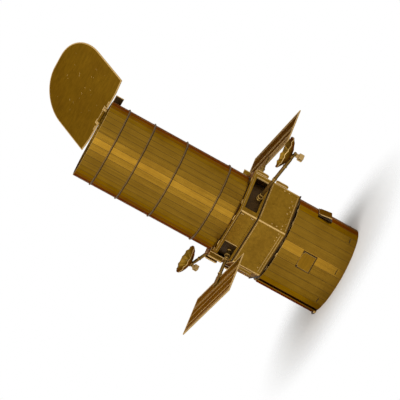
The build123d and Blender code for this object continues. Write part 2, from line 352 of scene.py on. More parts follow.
class Recipe:
    """Short way to wire the nodes of a material or of the world."""

    def __init__(self, owner, shader="Principled BSDF"):
        owner.use_nodes = True
        self.owner = owner
        self.nodes = owner.node_tree.nodes
        self.links = owner.node_tree.links
        self.shader = self.nodes[shader]

    def wire(self, node, inputs):
        """Links the values that are sockets to a node's inputs, and sets the others on them."""
        for key, value in inputs.items():
            socket = node.inputs[key]
            if isinstance(value, bpy.types.NodeSocket):
                self.links.new(value, socket)
            else:
                socket.default_value = (*value, 1.0) if socket.type == "RGBA" else value

    def shade(self, inputs):
        """Sets or links the shader's own inputs."""
        self.wire(self.shader, inputs)

    def node(self, kind, inputs, **settings):
        """New node with its settings and inputs."""
        made = self.nodes.new(kind)
        for key, value in settings.items():
            setattr(made, key, value)
        self.wire(made, inputs)
        return made

    def where(self):
        """Coordinates on the object."""
        return self.node("ShaderNodeTexCoord", {}).outputs["Object"]

    def noise(self, vector, scale, detail=2.0, roughness=0.5):
        made = self.node("ShaderNodeTexNoise",
                         {"Vector": vector, "Scale": scale, "Detail": detail, "Roughness": roughness})
        return made.outputs["Fac"]

    def remap(self, value, low, high, to_low, to_high, **settings):
        made = self.node("ShaderNodeMapRange", {"Value": value, "From Min": low, "From Max": high,
                                                "To Min": to_low, "To Max": to_high}, **settings)
        return made.outputs["Result"]

    def mix(self, share, a, b, blend="MIX"):
        made = self.node("ShaderNodeMix", {}, data_type="RGBA", blend_type=blend)
        self.wire(made, {0: share, 6: a, 7: b})
        return made.outputs[2]

    def maths(self, operation, *values):
        return self.node("ShaderNodeMath", dict(enumerate(values)), operation=operation).outputs[0]

    def add(self, a, b, share):
        """a and a share of b together."""
        return self.maths("MULTIPLY_ADD", b, share, a)

    def bump(self, height, distance, strength):
        made = self.node("ShaderNodeBump",
                         {"Height": height, "Distance": distance, "Strength": strength})
        self.shade({"Normal": made.outputs["Normal"]})


def rolled_brass(slot, colour):
    """Rolled sheet: streaks along its grain, faint tarnish in patches, a few specks."""
    look = bpy.context.scene.brass_finish
    recipe = Recipe(bpy.data.materials.new(slot))
    where = recipe.where()

    def streaks(fineness, draw):
        scale = [fineness * (1 - draw * along) for along in GRAIN[slot]]
        drawn = recipe.node("ShaderNodeMapping", {"Vector": where, "Scale": scale})
        return recipe.noise(drawn.outputs["Vector"], 1.0)

    fine = streaks(FINE_STREAKS, FINE_DRAW)
    grain = recipe.add(streaks(BROAD_STREAKS, BROAD_DRAW), fine, 0.5)
    patch = recipe.noise(where, PATCHES, 4.0, 0.6)
    speck = recipe.noise(where, SPECKS, 1.0)
    darkened = recipe.remap(patch, 0.42, 0.72, 0.0, look.tarnish_share)
    streak = recipe.remap(grain, 0.45, 1.05, 1.0 - look.streak, 1.0)
    least = look.roughness + ROUGHER.get(slot, 0.0)
    recipe.shade({
        "Base Color": recipe.mix(1.0, recipe.mix(darkened, colour, look.tarnish), streak, "MULTIPLY"),
        "Roughness": recipe.remap(recipe.add(fine, patch, 0.8), 0.5, 1.3, least,
                                  least + ROUGHNESS_SPAN),
        "Metallic": POLISH.get(slot, 1.0),
        "Specular Tint": look.glance,
    })
    recipe.bump(recipe.add(grain, speck, 0.35), look.grain_depth, 0.6)
    return recipe.owner


def cut_edge_glint(name, colour, pale):
    """Sheared or etched edge: paler than the sheet, matt, with small darker nicks. Its paleness is partly the
    edge's own look and partly painted highlight, so edges and raised lines show bright from every side.
    """
    look = bpy.context.scene.brass_finish
    recipe = Recipe(bpy.data.materials.new(name))
    nicks = recipe.noise(recipe.where(), NICKS, 3.0, 0.6)
    recipe.shade({
        "Base Color": recipe.mix(recipe.remap(nicks, 0.35, 0.65, 0.0, 0.35), pale, colour),
        "Roughness": recipe.remap(nicks, 0.3, 0.7, 0.34, 0.5),
        "Metallic": 0.55,
        "Specular IOR Level": 0.15,
        "Specular Tint": look.glance,
    })
    recipe.bump(nicks, look.grain_depth, 0.5)
    return recipe.owner


def painted_shade_brass(name):
    """Half-etched grooves and gaps, and other places where shade falls, painted near-black as their shade: rough
    and pitted.
    """
    look = bpy.context.scene.brass_finish
    recipe = Recipe(bpy.data.materials.new(name))
    pits = recipe.noise(recipe.where(), PITS, 2.0, 0.6)
    share = recipe.remap(pits, 0.3, 0.7, 0.0, 0.6)
    recipe.shade({"Base Color": recipe.mix(share, look.etched, look.tarnish),
                  "Roughness": recipe.remap(pits, 0.3, 0.7, 0.5, 0.7), "Metallic": 0.8})
    recipe.bump(pits, look.grain_depth, 0.7)
    return recipe.owner


def finish_set(slot):
    """Sheet, cut edge and near-black painted-shade finish for a material slot, made once."""
    if slot not in FINISHES_MADE:
        look = bpy.context.scene.brass_finish
        tints = {"band_brass": look.band, "arm_brass": look.arm, "door_brass": look.door,
                 "dish_brass": look.dish, "shaded_array_brass": look.shaded_array}
        colour = tuple(tints.get(slot, look.sheet))
        pale = look.arm if slot == "arm_brass" else look.cut_edge_glint
        FINISHES_MADE[slot] = (rolled_brass(slot, colour), cut_edge_glint(f"{slot}_edge", colour, pale),
                               painted_shade_brass(f"{slot}_shade_finish"))
    return FINISHES_MADE[slot]


# ---- user settings ----------------------------------------------------------
def length(name, default, description):
    """Property that is a length."""
    return bpy.props.FloatProperty(name=name, default=default, unit="LENGTH", precision=5,
                                   description=description)


def tint(name, default, description):
    """Property that is a colour."""
    return bpy.props.FloatVectorProperty(name=name, default=default, size=3, subtype="COLOR",
                                         min=0.0, max=1.0, description=description)


def share(name, default, description):
    """Property that is a share of a whole."""
    return bpy.props.FloatProperty(name=name, default=default, min=0.0, max=2.0,
                                   description=description)


class BrassSheet(bpy.types.PropertyGroup):
    """Sizes of the sheet work that the frame doesn't give."""

    chamfer: length("Chamfer", 0.05 * MM, "Width of the chamfer along a cut edge")
    bend_width: length("Bend width", 0.11 * MM, "Width of a bend between two flats of a tube")
    waviness: length("Waviness", 0.08 * MM, "How far a hand-folded bend strays from its circle")
    line_width: length("Line width", 0.22 * MM, "Width of a raised etched line")
    line_rise: length("Line height", 0.09 * MM, "Height of a raised etched line")
    fin_width: length("Band fin", 0.34 * MM, "Width of the standing fin of a tube band")
    # The band's dark strip, painted behind each fin as its shadow, is this wide.
    shadow_width: length("Band gap", 0.30 * MM, "Width of the dark gap behind a band's fin")
    rivet_radius: length("Rivet radius", 0.21 * MM, "Radius of the small rivet heads")


class BrassFinish(bpy.types.PropertyGroup):
    """Colours and textures of the brass."""

    sheet: tint("Sheet", (0.2542, 0.1332, 0.0126), "Polished rolled sheet")
    band: tint("Band", (0.189, 0.1125, 0.0405), "Duller standing edges of the tube bands")
    door: tint("Door", (0.1733, 0.08775, 0.00585), "Door's sheet, browner than the rest")
    arm: tint("Arms", (0.234, 0.1395, 0.03375), "Masts, booms and their sockets")
    dish: tint("Dishes", (0.171, 0.0945, 0.0135), "Bowls of the antennas")
    # Painted shade: the right array's sheet is painted darker than the left one's.
    shaded_array: tint("Right array", (0.1125, 0.0585, 0.00495), "Right array, duller than the left one")
    glance: tint("Glancing tint", (0.3375, 0.225, 0.099), "Tint of the sheet seen at a glancing angle")
    tarnish: tint("Tarnish", (0.1125, 0.0495, 0.0036), "Darker patches on the sheet")
    # Cut edge is pale in every light: partly the cut metal's own look, partly painted highlight on edges, raised
    # lines, ribs and rivets.
    cut_edge_glint: tint("Cut edge", (0.546, 0.357, 0.133), "Pale cut edges and raised lines")
    # Etched is the near-black colour painted into gaps, grooves, slots, bends and under things as their shade.
    etched: tint("Etched", (0.015, 0.008, 0.002), "Half-etched gaps and grooves")
    roughness: share("Roughness", 0.21, "Roughness of the tube's sheet")
    tarnish_share: share("Tarnish amount", 0.35, "How strongly the patches darken the sheet")
    streak: share("Streaks", 0.30, "How much the rolling streaks darken the sheet")
    grain_depth: length("Grain depth", 0.016 * MM, "Depth of the grain in the sheet")


class BrassStudio(bpy.types.PropertyGroup):
    """Light and floor."""

    floor: tint("Floor", (0.86, 0.86, 0.85), "Colour of the floor")
    floor_radius: length("Floor radius", 54 * MM, "How far the floor reaches before it fades out")
    key: share("Lamps", 1.0, "Strength of the soft lamps")
    ambient: share("Ambient", 0.3, "Soft light from all round on surfaces that scatter it")


# ---- forward tube -----------------------------------------------------------
TUBE_BENDS, TUBE_LEVELS, TUBE_SEED = 40, 12, 5
FOLD_DRIFT = 0.3              # share of the waviness by which a bend drifts along its length
TUBE_FOOT = 0.25 * MM         # height above the front plate up to which the tube's foot is painted dark as shade
BAND_SEED = 11
BAND_ROOT = 0.06 * MM         # how deep the bands stand in the tube
BAND_SHADE = 0.05 * MM        # how far the dark strip painted as a band's shadow stands out
BAND_DRIFT = 0.05             # how far a band strays from level, in millimetres


def bent_ring(radii, height, bend_width):
    """Ring of a folded tube: each bend is a narrow flat between two wide ones."""
    count = len(radii)
    corners = [Vector((r * math.cos(math.tau * k / count), r * math.sin(math.tau * k / count)))
               for k, r in enumerate(radii)]
    ring = []
    for k, corner in enumerate(corners):
        for other in (corners[k - 1], corners[(k + 1) % count]):
            spot = corner + (other - corner).normalized() * bend_width / 2
            ring.append((spot.x, spot.y, height))
    return ring


def folded_wall(blank, radius, low, high, bends, levels, seed, darkened=0.0, stray_by=1.0):
    """Hollow wall folded from sheet, its bends a little uneven along its length.

    The argument after seed is how high above its foot its outside is painted dark as shade, and stray_by
    how many times the waviness its bends stray.
    """
    sizes = bpy.context.scene.brass_sheet
    stray = random.Random(seed)
    reach = sizes.waviness * stray_by
    base = [radius - stray.random() * reach for _ in range(bends)]
    rim = [r - sizes.chamfer for r in base]
    inner = [r - SHEET_THICKNESS for r in base]
    rings = [(rim, low)]
    for level in range(levels + 1):
        radii = [r - stray.random() * sizes.waviness * FOLD_DRIFT for r in base]
        height = low + sizes.chamfer + (high - low - 2 * sizes.chamfer) * level / levels
        # Where a height is given, the outside below it is painted dark as shade.
        if level == 1 and darkened:
            height = low + darkened
        rings.append((radii, height))
    rings += [(rim, high), (inner, high), (inner, low)]
    finishes = [EDGE_GLINT, PAINTED_SHADE if darkened else SHEET, *[SHEET] * (levels - 1), EDGE_GLINT, EDGE_GLINT, SHEET, EDGE_GLINT]
    # Each bend is painted as a thin dark line: painted shade at the folds.
    blank.skin([bent_ring(radii, height, sizes.bend_width) for radii, height in rings], finishes,
               creases=True, wrap=True, bends=PAINTED_SHADE)


def make_tube():
    """Forward tube, its foot painted dark as shade behind the bay's windows."""
    low, high = (corner.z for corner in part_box("forward_tube"))
    tube = Blank()
    # Its foot, seen through the bay's windows, is painted dark as shade up to just above the strip.
    folded_wall(tube, TUBE_RADIUS, low, high, TUBE_BENDS, TUBE_LEVELS, TUBE_SEED,
                darkened=STRIP_TOP + SHEET_THICKNESS + TUBE_FOOT - low)
    tube.ready("forward_tube_skin", "telescope", "tube_brass", "forward_tube", sharp=30)


def make_bands():
    """Bands of the tube, each a standing fin with a dark strip behind it, painted as the fin's shadow."""
    sizes = bpy.context.scene.brass_sheet
    stray = random.Random(BAND_SEED)
    cut, shadow, crest = sizes.chamfer, sizes.shadow_width, sizes.shadow_width + sizes.fin_width
    root, shade = TUBE_RADIUS - BAND_ROOT, TUBE_RADIUS + BAND_SHADE
    for number in range(1, 5):
        node = f"tube_band_{number}"
        low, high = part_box(node)
        drift = [stray.uniform(-BAND_DRIFT, BAND_DRIFT) * MM for _ in range(TUBE_BENDS * 2)]
        fin = ((root, shadow), (high.x - cut, shadow), (high.x, shadow + cut), (high.x, crest - cut),
               (high.x - cut, crest), (root, crest))
        # painted shadow: a dark strip on the tube behind the fin
        dark = ((root, 0.0), (shade, 0.0), (shade, shadow), (root, shadow))
        start = (low.z + high.z) / 2 - crest / 2
        band = Blank()
        for profile, finish in ((fin, SHEET), (dark, PAINTED_SHADE)):
            rings = []
            for radius, height in profile:
                ring = bent_ring([radius] * TUBE_BENDS, start + height, sizes.bend_width)
                rings.append([(x, y, z + d) for (x, y, z), d in zip(ring, drift)])
            band.skin(rings, [finish] * len(rings), wrap=True)
        band.ready(f"{node}_hoop", "telescope", "band_brass", node)


# ---- equipment bay ----------------------------------------------------------
CORNER_FLAT = 0.66 * MM       # width of the flattened corners
CORNER_LINE_RISE = 0.16 * MM

# End of a joining tab in its slot.
TAB_SLOT = (0.62 * MM, 0.02 * MM)     # width and height
TAB_WIDTH, TAB_RISE = 0.36 * MM, 1.6  # the height in heights of a raised line
SLOT_SPARE = 0.2 * MM                 # how far the slot runs past each end of the tab

# Openings in the strip round the arms.
WINDOW_WIDTH = 13.6 * MM
WINDOW_SILL, WINDOW_HEAD = 0.7 * MM, 1.0 * MM
LIP_DEPTH, LIP_THICKNESS = 2.3 * MM, 0.3 * MM    # sheet turned in at the ends of a window
WINDOW_EDGE_PLACE = 0.28 * MM  # of a window's pale edge, outside the window
NOTCH_WIDTH = 9.2 * MM
STRIP_MARGIN = 0.5 * MM       # from the strip's foot band to its corners and its rim
BROW_DROP, GROOVE_DROP = 0.2 * MM, 0.32 * MM     # of the line under its rim, of the groove under that
# Its lines, as width and height.
FOOT_BAND, BROW_LINE, BROW_GROOVE = ((0.66 * MM, 0.16 * MM), (0.19 * MM, 0.07 * MM),
                                     (0.26 * MM, 0.05 * MM))
WINDOW_EDGE, NOTCH_EDGE = (0.5 * MM, 0.22 * MM), (0.4 * MM, 0.2 * MM)
EDGE_SHIFT = 0.2 * MM         # of a notch's edge and of the end tabs, away from the notch
END_TAB_INSET, END_TAB_LENGTH = 1.1 * MM, 1.1 * MM

# Ridges and rivets of the main sleeve.
BAY_SEED = 17
BAY_MARGIN = 1.0 * MM         # from the ends of its lines to its corners
BAY_BROW = 0.3 * MM           # of the line under its rim
RIDGES = (0.45 * MM, 1.25 * MM)       # heights; the plain sides have the first only
RIDGE_WIDTH = 0.26 * MM
RIVET_ROWS = (2.0 * MM, 1.2 * MM)     # heights; only the plain sides have the second
RIVETS_IN_ROW = 12
RIVET_COLUMN = (2.9, 3.8, 4.7, 5.6, 6.5, 7.4)    # heights in millimetres, on the plain sides
COLUMN_INSET = 0.2 * MM       # of those columns, from the ends of the lines
BEADS = 5                     # of solder, on each side

# Tabs at the bay's corners: corner, side whose plane they carry on, height above its foot.
BAY_TABS = ((30, 0, 7.2 * MM), (-90, -60, 5.0 * MM), (-150, 180, 7.2 * MM), (90, 120, 5.0 * MM))
STRIP_TABS = ((30, 0, 3.9 * MM), (-150, 180, 3.9 * MM))
TAB_HEIGHT, TAB_REACH, TAB_CLIP = 4.7 * MM, 1.5 * MM, 0.22 * MM
TAB_EDGE = (0.34 * MM, 0.14 * MM)     # width and height of its raised edges

FLANGE_TAB_PLACE = 5.2 * MM   # of the tab ends on a flange, from the middle of a side
FLANGE_TAB_INSET, FLANGE_TAB_LENGTH = 0.25 * MM, 1.9 * MM
RIM_TABS = 10                 # small tabs of the front plate against the tube
RIM_TAB_PLACE = 0.5 * MM      # of their middles, from the tube
RIM_TAB_LENGTH, RIM_TAB_WIDTH, RIM_TAB_RISE = 1.6 * MM, 0.7 * MM, 0.22 * MM
BRACKET_START = 18.1 * MM     # where the brackets hang down outside the flange
BRACKET_FOOT = 1.0 * MM
BRACKET_ROLL, BRACKET_ROLL_RADIUS = 0.2 * MM, 0.27 * MM


def bevelled_hexagon(breaks=()):
    """Outline of a hexagonal sleeve seen from above, counter-clockwise from its front side.

    Its corners are flattened. breaks are distances from a side's middle at which the outline
    has extra points.
    """
    outline = []
    end = HALF_SIDE - CORNER_FLAT / 2 / math.sin(math.radians(60))
    for side in SIDES:
        place = on_side(side, BAY_SIDE, 0)
        stops = (-end, *(-b for b in sorted(breaks, reverse=True)), *sorted(breaks), end)
        outline += [(place @ Vector((stop, 0, 0))).xy for stop in stops]
    return outline


def sleeve(blank, outline, low, high, levels=(), is_open=None):
    """Upright sleeve of sheet round an outline, its rims chamfered."""
    chamfer = bpy.context.scene.brass_sheet.chamfer
    heights = [low, low + chamfer, *levels, high - chamfer, high]

    def rows(full, rim):
        return [[(x, y, z) for x, y in (rim if z in (low, high) else full)] for z in heights]

    def cut_out(row, column):
        a, b = Vector(outline[column]), Vector(outline[(column + 1) % len(outline)])
        return is_open((a + b) / 2, (heights[row] + heights[row + 1]) / 2)

    inner, inner_rim = inset(outline, SHEET_THICKNESS), inset(outline, SHEET_THICKNESS - chamfer)
    blank.wall(rows(outline, inset(outline, chamfer)), rows(inner, inner_rim),
               is_open=is_open and cut_out)


def tab_end(blank, x, y, length, place, upright=False):
    """End of a joining tab in its slot: a slot painted dark as its shade, with a pale end of sheet in it."""
    rise = bpy.context.scene.brass_sheet.line_rise
    along = Vector((0, 1)) if upright else Vector((1, 0))
    middle = Vector((x, y))
    slot, tab = along * (length / 2 + SLOT_SPARE), along * length / 2
    blank.strip(middle - slot, middle + slot, *TAB_SLOT, place, PAINTED_SHADE)
    blank.strip(middle - tab, middle + tab, TAB_WIDTH, TAB_RISE * rise, place)


def corner_lines(blank, low, high, corners):
    """Pale lines down corners of the bay: the highlight of each fold, painted on in the pale edge finish."""
    distance = BAY_RADIUS - CORNER_FLAT / 2 / math.tan(math.radians(60))
    half = (high - low) / 2
    for corner in corners:
        place = on_side(corner, distance, (low + high) / 2)
        blank.strip((0, -half), (0, half), CORNER_FLAT, CORNER_LINE_RISE, place)


def make_strip():
    """Narrow sleeve of the bay, open round the arms, with etched lines along its sides and tab ends on its closed
    sides.
    """
    sill, head = STRIP_FLOOR + WINDOW_SILL, STRIP_TOP - WINDOW_HEAD
    middle, height = (STRIP_FLOOR + STRIP_TOP) / 2, STRIP_TOP - STRIP_FLOOR
    window_end = WINDOW_WIDTH / 2
    notch_end = HALF_SIDE - NOTCH_WIDTH / 2 / math.sin(math.radians(60))
    end, foot, brow = HALF_SIDE - STRIP_MARGIN, STRIP_MARGIN - height / 2, height / 2 - BROW_DROP

    def is_open(spot, level):
        in_window = abs(spot.x) < window_end and abs(spot.y) > BAY_SIDE / 2
        return sill < level < head and (in_window or abs(spot.y) < NOTCH_WIDTH / 2)

    strip = Blank()
    sleeve(strip, bevelled_hexagon((notch_end, window_end)), STRIP_FLOOR, STRIP_TOP, (sill, head),
           is_open)
    corner_lines(strip, STRIP_FLOOR, STRIP_TOP, (-30, 30, 150, -150))
    for side in SIDES:
        place = on_side(side, BAY_SIDE, middle)
        strip.strip((-end, foot), (end, foot), *FOOT_BAND, place, SHEET)
        strip.strip((-end, brow), (end, brow), *BROW_LINE, place)
        if side % 180 == 0:
            for way in (-1, 1):
                # the window's ends are turned in towards the tube
                edge = place @ Vector((way * window_end, 0, (sill + head) / 2 - middle))
                lip = axes(edge, outward(side), -way * outward(side + 90))
                strip.slab(rectangle(LIP_DEPTH, head - sill, -LIP_DEPTH / 2), -LIP_THICKNESS, 0.0,
                           lip, side=SHEET)
            x = window_end + WINDOW_EDGE_PLACE
            strip.strip((x, sill - middle), (x, head - middle), *WINDOW_EDGE, place)
            continue
        # the closed part of a side lies away from the corner that carries a mast
        way = 1 if side in (300, 120) else -1
        near, far = -way * notch_end, way * (HALF_SIDE - END_TAB_INSET)
        edge, line = near + way * EDGE_SHIFT, brow - GROOVE_DROP
        strip.strip((edge, sill - middle), (edge, head - middle), *NOTCH_EDGE, place)
        strip.strip((near, line), (way * HALF_SIDE, line), *BROW_GROOVE, place, PAINTED_SHADE)
        for y in (-0.3, 0.3):
            tab_end(strip, far + way * EDGE_SHIFT, y * height, END_TAB_LENGTH, place, upright=True)
    strip.ready("bay_strip_sleeve", "telescope", "bay_brass", "bay_strip")


def make_bay():
    """Main sleeve of the bay with its ridges and rivets, and a few small beads of solder."""
    sizes = bpy.context.scene.brass_sheet
    stray = random.Random(BAY_SEED)
    height, half = BAY_TOP - BAY_FLOOR, HALF_SIDE - BAY_MARGIN
    bay = Blank()
    sleeve(bay, bevelled_hexagon(), BAY_FLOOR, BAY_TOP)
    corner_lines(bay, BAY_FLOOR, BAY_TOP, CORNERS)
    for side in SIDES:
        place = on_side(side, BAY_SIDE, BAY_FLOOR)
        plain = side % 180 == 0
        for y in RIDGES[:1] if plain else RIDGES:
            bay.strip((-half, y), (half, y), RIDGE_WIDTH, 2.0 * sizes.line_rise, place)
        brow = height - BAY_BROW
        bay.strip((-half, brow), (half, brow), sizes.line_width, sizes.line_rise, place)
        rivets = [(half * (2 * k / (RIVETS_IN_ROW - 1) - 1), y)
                  for y in (RIVET_ROWS if plain else RIVET_ROWS[:1]) for k in range(RIVETS_IN_ROW)]
        if plain:
            rivets += [(s * (half - COLUMN_INSET), y * MM) for s in (-1, 1) for y in RIVET_COLUMN]
        beads = [(stray.uniform(-0.8, 0.8) * half, stray.uniform(0.3, 0.85) * height)
                 for _ in range(BEADS)]
        for x, y in rivets:
            bay.rivet(x, y, sizes.rivet_radius * stray.uniform(0.8, 1.35), place,
                      EDGE_GLINT if stray.random() < 0.4 else SHEET)
        for x, y in beads:
            bay.rivet(x, y, sizes.rivet_radius * stray.uniform(0.5, 1.1), place, SHEET)
    bay.ready("bay_sleeve", "telescope", "bay_brass", "bay_wrap")


def make_plates():
    """The two flanges that close the bay, with the tab ends that hold the sleeves."""
    for node, way in (("front_plate", 1), ("aft_plate", -1)):
        low, high = (corner.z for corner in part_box(node))
        is_front = way == 1
        face = high if is_front else low
        plate = Blank()
        # The aft plate's edge is painted dark: painted shade in the gap between the bay and the shroud.
        plate.slab(polygon(FLANGE_RADIUS, 6), low, high, chamfer=0.06 * MM,
                   holes=[polygon(TUBE_RADIUS + SEAT_GAP, 80)] if is_front else (),
                   side=SHEET if is_front else PAINTED_SHADE)
        for side in SIDES:
            place = on_top(side, BAY_SIDE - FLANGE_TAB_INSET, face, way)
            for x in (-FLANGE_TAB_PLACE, FLANGE_TAB_PLACE):
                tab_end(plate, x, 0, FLANGE_TAB_LENGTH, place)
        for k in range(RIM_TABS if is_front else 0):
            place = on_top(360 * (k + 0.5) / RIM_TABS, TUBE_RADIUS + RIM_TAB_PLACE, face)
            plate.slab(rectangle(RIM_TAB_LENGTH, RIM_TAB_WIDTH), 0.0, RIM_TAB_RISE, place, side=SHEET)
        plate.ready(f"{node}_sheet", "telescope", "bay_brass", node)


def make_corner_tabs():
    """Joining tabs that carry a side on past the bay's corners: flat, with clipped corners and a raised line near
    each end.
    """
    tabs = Blank()
    root = HALF_SIDE + SHEET_THICKNESS * math.tan(math.radians(30)) + SEAT_GAP
    width = HALF_SIDE + TAB_REACH - root
    for group, foot in ((BAY_TABS, BAY_FLOOR), (STRIP_TABS, STRIP_FLOOR)):
        for corner, side, middle in group:
            way = 1 if (corner - side) % 360 < 180 else -1
            place = on_side(side, BAY_SIDE - SHEET_THICKNESS, foot + middle)
            x = way * (root + width / 2)
            corners = [Vector(spot) for spot in rectangle(width, TAB_HEIGHT, x)]
            clipped = [tuple(here + (other - here).normalized() * TAB_CLIP)
                       for i, here in enumerate(corners)
                       for other in (corners[i - 1], corners[(i + 1) % 4])]
            tabs.slab(clipped, 0.0, SHEET_THICKNESS, place, chamfer=0.13 * MM)
            for edge in (x - 0.38 * width, x + 0.38 * width):
                tabs.strip((edge, -TAB_HEIGHT * 0.4), (edge, TAB_HEIGHT * 0.4), *TAB_EDGE,
                           shifted(place, z=SHEET_THICKNESS))
    tabs.ready("corner_tab_sheets", "telescope", "bay_brass", "corner_tabs")


def make_brackets():
    """Plates that stand on the flange and hang down outside it over the roots of the masts."""
    seat = STRIP_TOP + SHEET_THICKNESS + SEAT_GAP
    thick = SHEET_THICKNESS / 2
    for name, azimuth in (("left", -90), ("right", 90)):
        node = f"mast_bracket_{name}"
        low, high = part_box(node)
        root, end = sorted((abs(low.x), abs(high.x)))
        foot, rise = low.z - seat, high.z - seat
        out = outward(azimuth)
        place = axes(UP * seat, out, out.cross(UP))
        bracket = Blank()
        bracket.slab([(root, 0), (BRACKET_START, 0), (BRACKET_START, foot), (end, foot),
                      (end, rise), (root, rise)], -thick, thick, place, chamfer=0.1 * MM)
        flat = axes(out * (root + BRACKET_FOOT / 2) + UP * seat, out, UP)
        bracket.slab(rectangle(BRACKET_FOOT, high.y - low.y), 0.0, SHEET_THICKNESS, flat)
        for x in (BRACKET_START + BRACKET_ROLL, end - BRACKET_ROLL):
            bracket.pin(place @ Vector((x, foot, 0)), place @ Vector((x, rise, 0)),
                        BRACKET_ROLL_RADIUS, 16, EDGE_GLINT)
        bracket.ready(f"{node}_sheet", "telescope", "bay_brass", node)


# ---- aft shroud -------------------------------------------------------------
SHROUD_BENDS, SHROUD_LEVELS, SHROUD_SEED = 32, 6, 3891
SHROUD_STRAY = 1.8            # how many times the waviness its bends stray
SHROUD_SLOTS = 8
SLOT_HEIGHT, SLOT_LENGTH = 2.6 * MM, 1.9 * MM
SHROUD_SLOT = (0.34 * MM, 0.06 * MM)  # width and height of a slot's dark line
NECK_RADIUS = 14.4 * MM
CAP_TABS, CAP_TAB_INSET = 16, 0.3 * MM
SHROUD_TAB_LENGTH = 1.6 * MM  # of the tab ends on the cap and the disc

# Etched lines of the aft disc.
DISC_DEPTH = 0.15 * MM        # of the sheet's outer face in its CAD node
DISC_RINGS = (3.2 * MM, 8.0 * MM, 13.4 * MM)
DISC_RING_ROOT = 0.02 * MM    # how deep the rings are sunk
DISC_RAYS, RAY_START, RAY_END = 12, 3.5 * MM, 13.2 * MM
DISC_TAB_TURN, DISC_TAB_PLACE = 0.26, 14.7 * MM

HATCHES = (-46, 30, 110, 190)
HATCH_WIDTH = 5.5 * MM
HATCH_LIFT = 0.9 * MM
HATCH_NICK = 0.5 * MM         # of its upper corners
HATCH_EDGE, HATCH_EDGE_INSET = (0.5 * MM, 0.1 * MM), 0.2 * MM    # pale edge, painted highlight along one side: width and height
# Dark plates on the shroud behind the hatches: painted shadow under each lifted flap.
HATCH_SHADOW_SINK, HATCH_SHADOW_THICKNESS = 0.28 * MM, 0.27 * MM
HATCH_SHADOW_SPARE = (0.8 * MM, 0.5 * MM)    # how much wider and higher than a hatch it is
HATCH_SHADOW_DROP = 0.2 * MM

SEAM_AZIMUTH = -110
SEAM_WIDTH = 2.4 * MM
SEAM_SLOTS, SEAM_SLOT_LENGTH, SEAM_SLOT = 4, 1.8 * MM, (0.4 * MM, 0.05 * MM)    # width and height
SEAM_SLOT_START, SEAM_SLOT_STEP = 3.2, 5.5    # heights in millimetres
CURL_RADIUS = 0.45 * MM
CURL_HEIGHT, CURL_LIFT = 0.5 * MM, 0.2 * MM   # above the foot, and outside the sheet


def make_shroud():
    """Aft shroud folded from one sheet, with slots near its rim and dark plates behind its hatches, painted as the
    shadow under each lifted flap.
    """
    low, high = (corner.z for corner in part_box("aft_shroud"))
    shroud = Blank()
    folded_wall(shroud, SHROUD_RADIUS, low, high, SHROUD_BENDS, SHROUD_LEVELS, SHROUD_SEED,
                stray_by=SHROUD_STRAY)
    bend = 360 / SHROUD_BENDS
    flat = (SHROUD_RADIUS * math.cos(math.radians(bend / 2))
            - FOLD_DRIFT * bpy.context.scene.brass_sheet.waviness)
    for k in range(SHROUD_SLOTS):
        place = on_side(bend / 2 + 4 * bend * (k - 1), flat, low + SLOT_HEIGHT)
        shroud.strip((-SLOT_LENGTH / 2, 0), (SLOT_LENGTH / 2, 0), *SHROUD_SLOT, place, PAINTED_SHADE)
    foot, top = (corner.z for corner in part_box("hatch_1"))
    for azimuth in HATCHES:
        # painted shadow under this hatch
        place = on_side(azimuth, SHROUD_RADIUS - HATCH_SHADOW_SINK, (foot + top) / 2)
        shroud.slab(rectangle(HATCH_WIDTH + HATCH_SHADOW_SPARE[0], top - foot + HATCH_SHADOW_SPARE[1], 0,
                              -HATCH_SHADOW_DROP), 0.0, HATCH_SHADOW_THICKNESS, place, top=PAINTED_SHADE, side=PAINTED_SHADE)
    shroud.ready("aft_shroud_skin", "telescope", "shroud_brass", "aft_shroud", sharp=30)


def make_shroud_ends():
    """Cap with the neck under the bay, painted dark as shade, and the disc that closes the aft end."""
    sizes = bpy.context.scene.brass_sheet
    width, rise = sizes.line_width, sizes.line_rise
    inside = SHROUD_RADIUS - SHEET_THICKNESS - SEAT_GAP
    low, high = (corner.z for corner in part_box("shroud_cap"))
    cap = Blank()
    cap.slab(polygon(inside, SHROUD_BENDS), low, SHROUD_TOP)
    # the neck is painted dark: painted shade in the gap under the bay
    cap.turned(((NECK_RADIUS, SHROUD_TOP - SEAT_GAP), (NECK_RADIUS, high)), (PAINTED_SHADE,), sides=96,
               caps=PAINTED_SHADE)
    for k in range(CAP_TABS):
        place = on_top(360 * (k + 0.5) / CAP_TABS, inside - CAP_TAB_INSET, SHROUD_TOP)
        tab_end(cap, 0, 0, SHROUD_TAB_LENGTH, place)
    cap.ready("shroud_cap_sheet", "telescope", "shroud_brass", "shroud_cap")

    low, high = (corner.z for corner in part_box("aft_disc"))
    disc = Blank()
    disc.slab(polygon(inside, SHROUD_BENDS), low + DISC_DEPTH, high)
    down = Matrix.Translation(UP * (low + DISC_DEPTH)) @ Matrix.Rotation(math.pi, 4, "X")
    for radius in DISC_RINGS:
        profile = ((radius, -DISC_RING_ROOT), (radius, rise), (radius + width, rise),
                   (radius + width, -DISC_RING_ROOT))
        disc.turned(profile, (EDGE_GLINT,) * 4, down, 96, wrap=True)
    for k in range(DISC_RAYS):
        turn = math.tau * k / DISC_RAYS
        ray = Vector((math.cos(turn), math.sin(turn)))
        disc.strip(ray * RAY_START, ray * RAY_END, width, rise, down)
        turn += DISC_TAB_TURN
        place = shifted(down, math.cos(turn) * DISC_TAB_PLACE, math.sin(turn) * DISC_TAB_PLACE)
        tab_end(disc, 0, 0, SHROUD_TAB_LENGTH, place @ Matrix.Rotation(turn + math.pi / 2, 4, "Z"))
    disc.ready("aft_disc_sheet", "telescope", "shroud_brass", "aft_disc")


